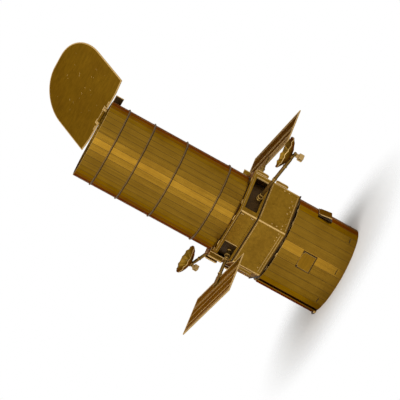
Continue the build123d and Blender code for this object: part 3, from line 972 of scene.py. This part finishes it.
def make_hatches():
    """Flaps cut in the shroud: held along their upper edge, lifted at their lower one."""
    thick, half, neck = SHEET_THICKNESS / 2, HATCH_WIDTH / 2, HATCH_WIDTH / 2 - HATCH_NICK
    for number, azimuth in enumerate(HATCHES, start=1):
        node = f"hatch_{number}"
        low, high = (corner.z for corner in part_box(node))
        length = high - low
        tilt = math.atan2(HATCH_LIFT - SEAT_GAP - thick, length)
        place = (on_side(azimuth, SHROUD_RADIUS + SEAT_GAP, high)
                 @ Matrix.Rotation(-tilt, 4, "X"))
        outline = [(-half, -length), (half, -length), (half, -HATCH_NICK), (neck, -HATCH_NICK),
                   (neck, 0), (-neck, 0), (-neck, -HATCH_NICK), (-half, -HATCH_NICK)]
        flap = Blank()
        flap.slab(outline, 0.0, thick, place, chamfer=0.06 * MM)
        # hatches at positive azimuths get a pale line along one side: painted highlight
        if azimuth > 0:
            edge = -half + HATCH_EDGE_INSET
            flap.strip((edge, -length), (edge, -HATCH_NICK), *HATCH_EDGE,
                       shifted(place, z=thick))
        flap.ready(f"{node}_flap", "telescope", "shroud_brass", node,
                   finishes=finish_set("door_brass"))


def make_shroud_seam():
    """Overlap where the shroud's sheet meets itself, its foot curled outward."""
    low, high = (corner.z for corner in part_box("shroud_seam"))
    seam = Blank()
    place = on_side(SEAM_AZIMUTH, SHROUD_RADIUS + SEAT_GAP, 0)
    seam.slab(rectangle(SEAM_WIDTH, high - low, 0, (high + low) / 2), 0.0, SHEET_THICKNESS, place,
              chamfer=0.08 * MM, side=SHEET)
    face = shifted(place, z=SHEET_THICKNESS)
    for k in range(SEAM_SLOTS):
        y = (SEAM_SLOT_START + SEAM_SLOT_STEP * k) * MM
        seam.strip((0, y - SEAM_SLOT_LENGTH / 2), (0, y + SEAM_SLOT_LENGTH / 2), *SEAM_SLOT, face, PAINTED_SHADE)
    start, end = (place @ Vector((x, CURL_HEIGHT, SHEET_THICKNESS + CURL_LIFT))
                  for x in (-SEAM_WIDTH / 2, SEAM_WIDTH / 2))
    # the curl is painted dark as shade
    seam.pin(start, end, CURL_RADIUS, 16, PAINTED_SHADE)
    seam.ready("shroud_seam_sheet", "telescope", "shroud_brass", "shroud_seam")


# ---- arms -------------------------------------------------------------------
ARMS = {"left": -90, "right": 90, "front": 0, "back": 180}    # azimuth of each
MAST_RADIUS, BOOM_RADIUS = 0.6 * MM, 0.5 * MM
LEANING_BORE = 0.12 * MM      # added to the radius of the leaning boom's bore
SOCKET_CUT = 0.12 * MM        # depth of a socket's chamfers and of its groove

ARRAY_TILT = 3.6
ARRAY_SPARE = 0.02 * MM       # how much shorter an array is than its CAD node
CLIP_ROOT = 1.0 * MM          # from the start of an array's clip to the array's edge
CLIP_LINE, CLIP_LINE_PLACE = (0.45 * MM, 0.12 * MM), 1.7 * MM    # width and height, and its middle
CLIP_LINE_HALF = 0.9 * MM     # half its length, and how far it lies from the clip's middle
COLLARS = (17.4 * MM, 18.2 * MM)      # on a mast, from the telescope's axis
COLLAR_LENGTH, COLLAR_RISE = 0.45 * MM, 0.2 * MM
ARRAY_SEED = 43
COLUMNS, CELLS = 5, 16        # across an array and along it
RECESS, FRAME_WIDTH = 0.12 * MM, 0.5 * MM
FIELD_GAP, FIELD_GAP_RISE = 0.3 * MM, 0.02 * MM    # dark line between the frame and the cells, painted as shade
CELL_LINE = 0.26 * MM         # width of the small lines across
PALE_RIB, DULL_RIB = 0.27, 0.44       # widths in millimetres
RIBS = ((-0.5, 1.0), (-0.18, 0.5), (0.14, 0.7))    # place in a column and height, as shares
PALE_RIBS = 0.45              # share of the ribs that are pale: painted highlight along the array
RIB_DRIFT = 0.11              # how far a rib strays in one cell, in millimetres

DISH_SEED = 31
DISH_REACH = 26.6 * MM        # from the tube's wall to the middle of a dish
DISH_RADIUS, DISH_DEPTH, DISH_THICKNESS = 5.6 * MM, 2.3 * MM, 0.26 * MM
DISH_LIFT = 0.65 * MM         # from the middle of the boom to the bottom of the bowl
DISH_RINGS = (0.14, 0.17, 0.4, 0.62, 0.82, 0.97, 1.0)    # radii as shares, from hub to rim
PETALS = 12
PETAL_PARTS = (0.06, 0.33, 0.67, 0.94)    # points across a petal, as shares
HUB_SPARE, HUB_FOOT, HUB_TOP = 0.2 * MM, 0.02 * MM, 0.4 * MM    # hub in the middle of a bowl
FEED_START, FEED_END, FEED_RADIUS = 0.3 * MM, 1.7 * MM, 0.3 * MM    # rod that stands on it
ARM_INSET = 0.55 * MM         # of a boom's root in its socket
SLEEVE_START, SLEEVE_STOP, SLEEVE_RISE = 2.2 * MM, 1.6 * MM, 0.1 * MM    # thicker part of a boom
BOOM_RINGS = (2.4 * MM, 12.0 * MM, 12.8 * MM, 20.5 * MM)
RING_LENGTH, RING_RISE, POST_RADIUS = 0.4 * MM, 0.24 * MM, 0.8 * MM    # the post carries the dish
BLOCK_SIZE = 1.8 * MM
BLOCK_REACH = 1.4 * MM        # from the middle of the dish along the boom
BLOCK_DROP = 1.75 * MM
STEM_WIDTH = 1.0 * MM
BLOCK_SLOT, BLOCK_SLOT_HALF = (0.5 * MM, 0.08 * MM), 0.6 * MM    # width and height, half its length


def boom_place(name):
    """Place at the tube's wall whose z runs out along a boom and whose y is up."""
    joint = JOINTS[f"antenna_{name}_swivel"]
    along = Vector(joint["axis"])
    return axes(joint["pos_m"], UP.cross(along), along)


def make_sockets():
    """Rings on the tube that the masts and booms turn in."""
    cut = SOCKET_CUT
    for name, azimuth in ARMS.items():
        is_mast = name in ("left", "right")
        node = f"mast_socket_{name}" if is_mast else f"boom_socket_{name}"
        low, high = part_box(node)
        length = high.x - low.x if is_mast else high.y - low.y
        inner = (MAST_RADIUS if is_mast else BOOM_RADIUS) + RUNNING_GAP
        inner += LEANING_BORE if name == "back" else 0
        outer = (high.z - low.z) / 2
        profile = ((inner, 0), (inner, length - cut), (inner + cut, length), (outer - cut, length),
                   (outer, length - cut), (outer, length - 3 * cut), (outer - cut, length - 4 * cut),
                   (outer - cut, 4 * cut), (outer, 3 * cut), (outer, 0))
        finishes = (PAINTED_SHADE, EDGE_GLINT, EDGE_GLINT, EDGE_GLINT, EDGE_GLINT, SHEET, SHEET, SHEET, EDGE_GLINT, EDGE_GLINT)
        socket = Blank()
        socket.turned(profile, finishes, on_side(azimuth, TUBE_RADIUS + SEAT_GAP, ARM_HEIGHT),
                      wrap=True)
        socket.ready(f"{node}_ring", "telescope", "arm_brass", node)


def make_masts():
    """Pins that carry the arrays, each with collars and the clip that holds its array."""
    for name, way in (("left", -1), ("right", 1)):
        node = f"mast_{name}"
        low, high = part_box(node)
        root, tip = sorted((abs(low.x), abs(high.x)))
        array_edge = min(abs(corner.x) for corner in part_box(f"array_{name}"))
        clip_start = array_edge - CLIP_ROOT
        level, middle = Vector((way, 0, 0)), UP * ARM_HEIGHT
        mast = Blank()
        mast.pin(middle + level * root, middle + level * (array_edge - SEAT_GAP), MAST_RADIUS, 24)
        for x in (*COLLARS, clip_start - 2 * COLLAR_LENGTH):
            start = middle + level * x
            mast.pin(start, start + level * COLLAR_LENGTH, MAST_RADIUS + COLLAR_RISE, 24)
        plane = Matrix.Translation(middle) @ Matrix.Rotation(math.radians(ARRAY_TILT), 4, "X")
        clip = rectangle(tip - array_edge + CLIP_ROOT, high.y - low.y, way * (clip_start + tip) / 2)
        mast.slab(clip, 0.0, SHEET_THICKNESS, plane, chamfer=0.09 * MM)
        face = shifted(plane, way * (array_edge + CLIP_LINE_PLACE), z=SHEET_THICKNESS)
        for y in (-CLIP_LINE_HALF, CLIP_LINE_HALF):
            mast.strip((-CLIP_LINE_HALF, y), (CLIP_LINE_HALF, y), *CLIP_LINE, face)
        mast.ready(f"{node}_pin", f"wing_{name}", "arm_brass", node)


def make_array_field(array, place, width, length, chance):
    """Cells on one side of an array: ribs lengthwise, small lines across, some of them painted dark, and a dark
    line round them painted as shade.
    """
    step_x, step_y = (width - 2 * FRAME_WIDTH) / COLUMNS, (length - 2 * FRAME_WIDTH) / CELLS
    left, foot = FRAME_WIDTH - width / 2, FRAME_WIDTH - length / 2
    x, y = (size / 2 - FRAME_WIDTH - FIELD_GAP / 2 for size in (width, length))
    for corners in (((x, -y), (x, y)), ((-x, -y), (-x, y)), ((-x, y), (x, y)), ((-x, -y), (x, -y))):
        array.strip(*corners, FIELD_GAP, FIELD_GAP_RISE, place, PAINTED_SHADE)
    for c in range(COLUMNS):
        x = left + step_x * (c + 0.5)
        for side, rise in RIBS[1:] if c == 0 else RIBS:
            middle = line = x + side * step_x
            # some ribs are pale: painted highlight along the array's lines
            finish = EDGE_GLINT if chance.random() < PALE_RIBS else SHEET
            for r in range(CELLS):
                y = foot + step_y * (r + 0.5)
                drift = line + chance.uniform(-RIB_DRIFT, RIB_DRIFT) * MM
                array.strip((line, y - 0.5 * step_y), (drift, y + 0.5 * step_y),
                            (PALE_RIB if finish == EDGE_GLINT else DULL_RIB) * MM,
                            RECESS * rise * chance.uniform(0.7, 1.0), place, finish)
                line = middle + 0.6 * (drift - middle)
        for r in range(1, CELLS):
            y = foot + step_y * r
            array.strip((x - 0.3 * step_x, y), (x + 0.3 * step_x, y), CELL_LINE, RECESS * 0.3, place,
                        PAINTED_SHADE if (r + c) % 3 == 0 else SHEET)


def make_arrays():
    """Solar arrays: framed sheets with small cells on both sides."""
    chance = random.Random(ARRAY_SEED)
    tilt = math.radians(ARRAY_TILT)
    # the right array is painted darker, as shade
    for name, brass in (("left", "array_brass"), ("right", "shaded_array_brass")):
        node = f"array_{name}"
        low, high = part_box(node)
        width, length = high.x - low.x, (high.y - low.y) / math.cos(tilt) - ARRAY_SPARE
        root = Matrix.Translation(((low.x + high.x) / 2, 0, ARM_HEIGHT)) @ Matrix.Rotation(tilt, 4, "X")
        plane = shifted(root, 0, (low.y + high.y) / 2 / math.cos(tilt), -SEAT_GAP - SHEET_THICKNESS)
        array = Blank()
        array.slab(rectangle(width, length), 0.0, SHEET_THICKNESS, plane, chamfer=0.07 * MM,
                   holes=[rectangle(width - 2 * FRAME_WIDTH, length - 2 * FRAME_WIDTH)], top=EDGE_GLINT)
        array.slab(rectangle(width - FRAME_WIDTH, length - FRAME_WIDTH), RECESS,
                   SHEET_THICKNESS - RECESS, plane)
        under = shifted(plane, z=RECESS) @ Matrix.Rotation(math.pi, 4, "Y")
        for place in (shifted(plane, z=SHEET_THICKNESS - RECESS), under):
            make_array_field(array, place, width, length, chance)
        array.ready(f"{node}_panel", f"wing_{name}", "array_brass", node, finishes=finish_set(brass))


def make_dishes():
    """Dishes pressed from petals, creased where the petals meet and a little uneven."""
    chance = random.Random(DISH_SEED)
    curve = (DISH_RADIUS ** 2 + DISH_DEPTH ** 2) / (2 * DISH_DEPTH)
    hub = DISH_RINGS[0] * DISH_RADIUS + HUB_SPARE
    for name in ("front", "back"):
        root = shifted(boom_place(name), z=DISH_REACH)
        up, along = (root.to_3x3() @ Vector(axis) for axis in ((0, 1, 0), (0, 0, 1)))
        place = axes(root.translation + up * DISH_LIFT, along, up)
        turns, lift = [], []
        for petal in range(PETALS):
            tip = chance.uniform(-0.30, 0.16) * MM
            for part in PETAL_PARTS:
                turns.append(math.tau * (petal + part) / PETALS)
                lift.append(tip * chance.uniform(0.5, 1.3) * (1.0 if 0.1 < part < 0.9 else -0.4))
        dents = [[chance.uniform(-0.09, 0.09) * MM for _ in DISH_RINGS] for _ in turns]

        def rows(height):
            made = []
            for r, share in enumerate(DISH_RINGS):
                radius = share * DISH_RADIUS
                rise = curve - math.sqrt(curve ** 2 - radius ** 2)
                made.append([place @ Vector((radius * math.cos(turn), radius * math.sin(turn),
                                             rise + (lift[k] * share ** 2 + dents[k][r]) + height))
                             for k, turn in enumerate(turns)])
            return made

        dish = Blank()
        dish.wall(rows(DISH_THICKNESS), rows(0.0), ends=SHEET)
        dish.turned(((hub, HUB_FOOT), (hub, HUB_TOP)), (EDGE_GLINT,), place, 24, caps=EDGE_GLINT)
        dish.rod(place, FEED_START, FEED_END, FEED_RADIUS, 12)
        dish.ready(f"dish_{name}_bowl", f"antenna_{name}", "dish_brass", f"dish_{name}")


def make_booms():
    """Booms of the antennas with the hub and the feed block at their outer ends."""
    half, foot = BLOCK_SIZE / 2, BOOM_RADIUS + BLOCK_DROP
    for name in ("front", "back"):
        place = boom_place(name)
        hub = shifted(place, z=DISH_REACH)
        boom = Blank()
        boom.rod(place, ARM_INSET, DISH_REACH + BLOCK_REACH + half, BOOM_RADIUS)
        boom.rod(place, SLEEVE_START, DISH_REACH - SLEEVE_STOP, BOOM_RADIUS + SLEEVE_RISE)
        for z in BOOM_RINGS:
            boom.rod(place, z, z + RING_LENGTH, BOOM_RADIUS + RING_RISE)
        boom.pin(hub @ Vector((0, 0, 0)), hub @ Vector((0, DISH_LIFT, 0)), POST_RADIUS, 24)
        boom.ready(f"boom_{name}_pin", f"antenna_{name}", "arm_brass", f"boom_{name}")

        block = Blank()
        turn = shifted(hub, z=BLOCK_REACH) @ Matrix.Rotation(math.pi / 2, 4, "X")
        block.slab(rectangle(STEM_WIDTH, STEM_WIDTH), BOOM_RADIUS, foot, turn, chamfer=0.08 * MM)
        block.slab(rectangle(BLOCK_SIZE, BLOCK_SIZE), foot - half, foot + half, turn,
                   chamfer=0.16 * MM, top=EDGE_GLINT)
        for side in (-1, 1):
            face = shifted(turn, side * half, z=foot) @ Matrix.Rotation(side * math.pi / 2, 4, "Y")
            block.strip((-BLOCK_SLOT_HALF, 0), (BLOCK_SLOT_HALF, 0), *BLOCK_SLOT, face, PAINTED_SHADE)
        node = f"feed_block_{name}"
        block.ready(f"{node}_block", f"antenna_{name}", "dish_brass", node)


# ---- door -------------------------------------------------------------------
DOOR_SEED = 61
DOOR_WIDTH, DOOR_REACH = 32.7 * MM, 28.5 * MM
DOOR_CORNER = 13.7 * MM
DOOR_LEAN = 38.3
DOOR_FOOT, DOOR_FOOT_HALF, DOOR_FOOT_RISE = -0.45 * MM, 11.0 * MM, 0.6 * MM
DOOR_MARGIN = 0.36 * MM       # width of its pale rim: partly its cut edge, partly painted highlight round its outline
DOOR_SCRATCHES = 80           # on each face
SCRATCH_RISE = 0.02 * MM
FOLD_MARK = (4.6 * MM, 6.6 * MM)      # pale marks by the hinge: from and to, off the middle
FOLD_MARK_HEIGHT, FOLD_MARK_WIDTH = 0.2 * MM, 0.5 * MM
EYE_RADIUS, PIN_RADIUS = 0.6 * MM, 0.3 * MM
LUG_PLACE, LUG_WIDTH, LUG_GAP = 3.0 * MM, 0.9 * MM, 0.15 * MM
HINGE_DROP, HINGE_LENGTH = 3.0 * MM, 21.0 * MM
HINGE_TABS = (-8.4 * MM, -6.2 * MM, 6.2 * MM, 8.4 * MM)
HINGE_TAB_LENGTH = 1.3 * MM


def make_door():
    """Door of the mouth: a round-headed sheet with a knuckle between the hinge's lugs."""
    lean = math.radians(DOOR_LEAN)
    out = outward(HINGE_AZIMUTH)
    along = UP.cross(out)
    place = axes(HINGE, along, along.cross(out * math.sin(lean) + UP * math.cos(lean)))
    half, thick = DOOR_WIDTH / 2, SHEET_THICKNESS / 2
    cut_near, cut_far = (LUG_PLACE + way * (LUG_WIDTH / 2 + LUG_GAP) for way in (-1, 1))
    cut_top = EYE_RADIUS + LUG_GAP
    right = [(cut_near, EYE_RADIUS * 0.75), (cut_near, cut_top), (cut_far, cut_top),
             (cut_far, DOOR_FOOT), (DOOR_FOOT_HALF, DOOR_FOOT), (half, DOOR_FOOT + DOOR_FOOT_RISE)]
    right += arc(half - DOOR_CORNER, DOOR_REACH - DOOR_CORNER, DOOR_CORNER, 0, 90, 18)
    outline = right + [(-x, y) for x, y in reversed(right)]
    door = Blank()
    door.slab(outline, -thick, thick, place, chamfer=0.07 * MM, margin=DOOR_MARGIN)
    inner = PIN_RADIUS + RUNNING_GAP
    profile = ((inner, 0), (inner, 2 * cut_near), (EYE_RADIUS, 2 * cut_near), (EYE_RADIUS, 0))
    door.turned(profile, (PAINTED_SHADE, EDGE_GLINT, SHEET, EDGE_GLINT), axes(HINGE - along * cut_near, out, along), 24,
                wrap=True)
    stray = random.Random(DOOR_SEED)
    for face in (shifted(place, z=-thick) @ Matrix.Rotation(math.pi, 4, "Y"),
                 shifted(place, z=thick)):
        for _ in range(DOOR_SCRATCHES):
            x, y = stray.uniform(-0.75, 0.75) * half, stray.uniform(0.12, 0.8) * DOOR_REACH
            turn = math.radians(stray.gauss(55, 16))
            run = stray.uniform(0.15, 0.9) * MM
            door.strip((x, y), (x + run * math.cos(turn), y + run * math.sin(turn)),
                       stray.uniform(0.07, 0.14) * MM, SCRATCH_RISE, face,
                       EDGE_GLINT if stray.random() < 0.3 else SHEET)
        for side in (-1, 1):
            start, end = ((side * x, FOLD_MARK_HEIGHT) for x in FOLD_MARK)
            door.strip(start, end, FOLD_MARK_WIDTH, bpy.context.scene.brass_sheet.line_rise, face)
    door.ready("door_sheet", "door", "door_brass", "door")


def make_hinge():
    """Plate on the tube's rim with two lugs, and the pin through them."""
    out = outward(HINGE_AZIMUTH)
    along = UP.cross(out)
    middle = HINGE.z - EYE_RADIUS - LUG_GAP - HINGE_DROP / 2
    plate = Blank()
    place = on_side(HINGE_AZIMUTH, TUBE_RADIUS + SEAT_GAP, middle)
    plate.slab(rectangle(HINGE_LENGTH, HINGE_DROP), 0.0, SHEET_THICKNESS, place, chamfer=0.09 * MM,
               bottom=PAINTED_SHADE)
    for x in HINGE_TABS:
        tab_end(plate, x, 0, HINGE_TAB_LENGTH, shifted(place, z=SHEET_THICKNESS))
    wall, root = TUBE_RADIUS + SEAT_GAP - Vector(HINGE.xy).length, middle - HINGE.z
    outline = arc(0, 0, EYE_RADIUS, 0, 180, 12)
    outline += [(wall, 0), (wall, root), (wall + SHEET_THICKNESS, root)]
    for side in (-1, 1):
        lug = axes(HINGE + along * side * LUG_PLACE, out, -along)
        plate.slab(outline, -LUG_WIDTH / 2, LUG_WIDTH / 2, lug, holes=[polygon(PIN_RADIUS, 16)],
                   chamfer=0.06 * MM)
    plate.ready("hinge_plate_sheet", "telescope", "tube_brass", "hinge_plate")

    span = along * (LUG_PLACE + LUG_WIDTH / 2)
    pin = Blank()
    pin.pin(HINGE - span, HINGE + span, PIN_RADIUS)
    pin.ready("hinge_pin_rod", "telescope", "tube_brass", "hinge_pin")


# ---- finishes of the CAD nodes ----------------------------------------------
DARK_NODES = {"mid_plate"}    # in the groove of the bay, painted all over in the dark finish as the groove's shade


def dress_carried_nodes():
    """Gives every CAD node its slot's brass, for those that keep their shape."""
    slots = {part["node"]: part["material_slot"] for part in frame["record"]["subparts"]}
    for node, item in frame["nodes"].items():
        item.data.materials.clear()
        item.data.materials.append(finish_set(slots[node])[PAINTED_SHADE if node in DARK_NODES else SHEET])


# ---- studio -----------------------------------------------------------------
CAMERA_AZIMUTH = -38.8
CAMERA_ELEVATION = 6.437
CAMERA_DISTANCE = 534.7 * MM
CAMERA_HEIGHT = 52.49 * MM        # of the point on the telescope's axis that it looks at
CAMERA_SHIFT = -0.93 * MM         # of that point to the side
CAMERA_LENS = 141.5
CAMERA_TURN = (0.4813, 0.8766)    # shares of right and of down in the view's own right

# Lamps: name, azimuth, elevation, distance and size in metres, power in watts.
LAMPS = (("key_light", -58, 30, 1.1, 0.7, 9.0), ("stripe_light", -40, -5, 1.1, 0.8, 2.413),
         ("top_light", 60, 72, 1.0, 0.6, 2.5))
FLOOR_DROP = 0.02 * MM
FLOOR_CLEAR = 0.3                 # share of the floor's radius that doesn't fade


def make_camera():
    """Camera turned about its line of sight, so that the standing model leans in its view."""
    back, right = outward(CAMERA_AZIMUTH, CAMERA_ELEVATION), outward(CAMERA_AZIMUTH + 90)
    up = back.cross(right)
    row = right * CAMERA_TURN[0] - up * CAMERA_TURN[1]
    column = right * CAMERA_TURN[1] + up * CAMERA_TURN[0]
    data = bpy.data.cameras.new("camera")
    data.lens = CAMERA_LENS
    data.sensor_width = 36
    data.clip_start = 0.01
    camera = show("camera", data)
    place = Matrix((row, column, back)).transposed().to_4x4()
    place.translation = UP * CAMERA_HEIGHT + right * CAMERA_SHIFT + back * CAMERA_DISTANCE
    camera.matrix_world = place
    bpy.context.scene.camera = camera


def soft_light(name, azimuth, elevation, distance, size, power):
    """Square area lamp that looks at the telescope and doesn't show itself."""
    data = bpy.data.lights.new(name, "AREA")
    data.shape = "SQUARE"
    data.size = size
    data.energy = power
    lamp = show(name, data)
    back = outward(azimuth, elevation)
    lamp.location = UP * CAMERA_HEIGHT + back * distance
    lamp.rotation_euler = back.to_track_quat("Z", "Y").to_euler()
    lamp.visible_camera = False


def make_world():
    """White behind the model and in its metal, and soft light on all that scatters it."""
    scene = bpy.context.scene
    ambient = scene.brass_studio.ambient
    scene.world = bpy.data.worlds.new("studio")
    recipe = Recipe(scene.world, "Background")
    path = recipe.node("ShaderNodeLightPath", {}).outputs
    shown = recipe.maths("MAXIMUM", path["Is Camera Ray"], path["Is Transmission Ray"])
    shown = recipe.maths("MAXIMUM", shown, path["Is Glossy Ray"])
    recipe.shade({"Color": (1, 1, 1),
                  "Strength": recipe.maths("MULTIPLY_ADD", shown, 1.0 - ambient, ambient)})


def make_floor():
    """Pale round floor that fades out to the white behind it."""
    studio = bpy.context.scene.brass_studio
    radius, paper = studio.floor_radius, tuple(studio.floor)
    recipe = Recipe(bpy.data.materials.new("floor"))
    where = recipe.where()
    far = recipe.node("ShaderNodeVectorMath", {0: where}, operation="LENGTH").outputs["Value"]
    grain = recipe.remap(recipe.noise(where, PAPER_GRAIN, 3.0), 0.3, 0.7, 0.0, 0.4)
    recipe.shade({
        "Alpha": recipe.remap(far, FLOOR_CLEAR * radius, radius, 1.0, 0.0,
                              interpolation_type="SMOOTHSTEP"),
        "Base Color": recipe.mix(grain, paper, tuple(0.97 * c for c in paper)),
        "Roughness": 0.9,
        "Specular IOR Level": 0.1,
    })
    disc = bmesh.new()
    bmesh.ops.create_circle(disc, cap_ends=True, segments=96, radius=radius)
    data = bpy.data.meshes.new("floor")
    disc.to_mesh(data)
    disc.free()
    data.materials.append(recipe.owner)
    floor = show("floor", data)
    floor.location.z = -FLOOR_DROP


def make_stage():
    """Camera, white world, floor and lamps."""
    scene = bpy.context.scene
    scene.view_settings.view_transform = "Standard"
    make_camera()
    make_world()
    make_floor()
    for *place, power in LAMPS:
        soft_light(*place, power * scene.brass_studio.key)


# ---- operators and panel ----------------------------------------------------
class BRASS_OT_tube(bpy.types.Operator):
    """Build the forward tube, folded from one sheet"""

    bl_idname = "brass_satellite.tube"
    bl_label = "Forward tube"

    def execute(self, context):
        make_tube()
        return {"FINISHED"}


class BRASS_OT_bands(bpy.types.Operator):
    """Build the four standing bands of the forward tube"""

    bl_idname = "brass_satellite.bands"
    bl_label = "Tube bands"

    def execute(self, context):
        make_bands()
        return {"FINISHED"}


class BRASS_OT_strip(bpy.types.Operator):
    """Build the narrow sleeve of the bay with its windows"""

    bl_idname = "brass_satellite.strip"
    bl_label = "Bay strip"

    def execute(self, context):
        make_strip()
        return {"FINISHED"}


class BRASS_OT_bay(bpy.types.Operator):
    """Build the main sleeve of the bay with its ridges and rivets"""

    bl_idname = "brass_satellite.bay"
    bl_label = "Bay sleeve"

    def execute(self, context):
        make_bay()
        return {"FINISHED"}


class BRASS_OT_plates(bpy.types.Operator):
    """Build the two flanges that close the bay"""

    bl_idname = "brass_satellite.plates"
    bl_label = "Bay plates"

    def execute(self, context):
        make_plates()
        return {"FINISHED"}


class BRASS_OT_corner_tabs(bpy.types.Operator):
    """Build the joining tabs at the bay's corners"""

    bl_idname = "brass_satellite.corner_tabs"
    bl_label = "Corner tabs"

    def execute(self, context):
        make_corner_tabs()
        return {"FINISHED"}


class BRASS_OT_brackets(bpy.types.Operator):
    """Build the upright plates over the mast roots"""

    bl_idname = "brass_satellite.brackets"
    bl_label = "Mast brackets"

    def execute(self, context):
        make_brackets()
        return {"FINISHED"}


class BRASS_OT_shroud(bpy.types.Operator):
    """Build the aft shroud, folded from one sheet"""

    bl_idname = "brass_satellite.shroud"
    bl_label = "Aft shroud"

    def execute(self, context):
        make_shroud()
        return {"FINISHED"}


class BRASS_OT_shroud_ends(bpy.types.Operator):
    """Build the shroud's cap and the disc at its aft end"""

    bl_idname = "brass_satellite.shroud_ends"
    bl_label = "Shroud ends"

    def execute(self, context):
        make_shroud_ends()
        return {"FINISHED"}


class BRASS_OT_hatches(bpy.types.Operator):
    """Build the four lifted flaps of the shroud"""

    bl_idname = "brass_satellite.hatches"
    bl_label = "Hatches"

    def execute(self, context):
        make_hatches()
        return {"FINISHED"}


class BRASS_OT_shroud_seam(bpy.types.Operator):
    """Build the overlap of the shroud's sheet"""

    bl_idname = "brass_satellite.shroud_seam"
    bl_label = "Shroud seam"

    def execute(self, context):
        make_shroud_seam()
        return {"FINISHED"}


class BRASS_OT_sockets(bpy.types.Operator):
    """Build the rings that the masts and booms turn in"""

    bl_idname = "brass_satellite.sockets"
    bl_label = "Sockets"

    def execute(self, context):
        make_sockets()
        return {"FINISHED"}


class BRASS_OT_masts(bpy.types.Operator):
    """Build the masts of the solar arrays"""

    bl_idname = "brass_satellite.masts"
    bl_label = "Masts"

    def execute(self, context):
        make_masts()
        return {"FINISHED"}


class BRASS_OT_arrays(bpy.types.Operator):
    """Build the two solar arrays"""

    bl_idname = "brass_satellite.arrays"
    bl_label = "Solar arrays"

    def execute(self, context):
        make_arrays()
        return {"FINISHED"}


class BRASS_OT_dishes(bpy.types.Operator):
    """Build the petalled bowls of the antennas"""

    bl_idname = "brass_satellite.dishes"
    bl_label = "Dishes"

    def execute(self, context):
        make_dishes()
        return {"FINISHED"}


class BRASS_OT_booms(bpy.types.Operator):
    """Build the booms of the antennas and their feed blocks"""

    bl_idname = "brass_satellite.booms"
    bl_label = "Booms"

    def execute(self, context):
        make_booms()
        return {"FINISHED"}


class BRASS_OT_door(bpy.types.Operator):
    """Build the door of the mouth"""

    bl_idname = "brass_satellite.door"
    bl_label = "Door"

    def execute(self, context):
        make_door()
        return {"FINISHED"}


class BRASS_OT_hinge(bpy.types.Operator):
    """Build the plate, lugs and pin of the door's hinge"""

    bl_idname = "brass_satellite.hinge"
    bl_label = "Door hinge"

    def execute(self, context):
        make_hinge()
        return {"FINISHED"}


class BRASS_OT_carried(bpy.types.Operator):
    """Give the pieces that keep their plain shape their brass"""

    bl_idname = "brass_satellite.carried"
    bl_label = "Plain pieces"

    def execute(self, context):
        dress_carried_nodes()
        return {"FINISHED"}


class BRASS_OT_stage(bpy.types.Operator):
    """Set up the camera, the soft light and the pale floor"""

    bl_idname = "brass_satellite.stage"
    bl_label = "Stage"

    def execute(self, context):
        make_stage()
        return {"FINISHED"}


OPERATORS = (
    BRASS_OT_stage, BRASS_OT_tube, BRASS_OT_bands, BRASS_OT_strip, BRASS_OT_bay,
    BRASS_OT_plates, BRASS_OT_corner_tabs, BRASS_OT_brackets, BRASS_OT_shroud,
    BRASS_OT_shroud_ends, BRASS_OT_hatches, BRASS_OT_shroud_seam, BRASS_OT_sockets,
    BRASS_OT_masts, BRASS_OT_arrays, BRASS_OT_dishes, BRASS_OT_booms, BRASS_OT_door,
    BRASS_OT_hinge, BRASS_OT_carried,
)


class BRASS_PT_satellite(bpy.types.Panel):
    """Sidebar panel with the sizes, the finishes and a button for each piece"""

    bl_idname = "BRASS_PT_satellite"
    bl_label = "Brass Satellite"
    bl_space_type = "VIEW_3D"
    bl_region_type = "UI"
    bl_category = "Brass Satellite"

    def draw(self, context):
        for group in (context.scene.brass_sheet, context.scene.brass_finish, context.scene.brass_studio):
            box = self.layout.box()
            for name in group.__annotations__:
                box.prop(group, name)
        for button in OPERATORS:
            self.layout.operator(button.bl_idname)


GROUPS = {"brass_sheet": BrassSheet, "brass_finish": BrassFinish, "brass_studio": BrassStudio}


def register():
    for name, group in GROUPS.items():
        bpy.utils.register_class(group)
        setattr(bpy.types.Scene, name, bpy.props.PointerProperty(type=group))
    for item in (*OPERATORS, BRASS_PT_satellite):
        bpy.utils.register_class(item)


def unregister():
    for item in (BRASS_PT_satellite, *reversed(OPERATORS)):
        bpy.utils.unregister_class(item)
    for name, group in reversed(GROUPS.items()):
        delattr(bpy.types.Scene, name)
        bpy.utils.unregister_class(group)


def main():
    register()
    for step in OPERATORS:
        family, name = step.bl_idname.split(".")
        getattr(getattr(bpy.ops, family), name)()


if __name__ == "__main__":
    main()
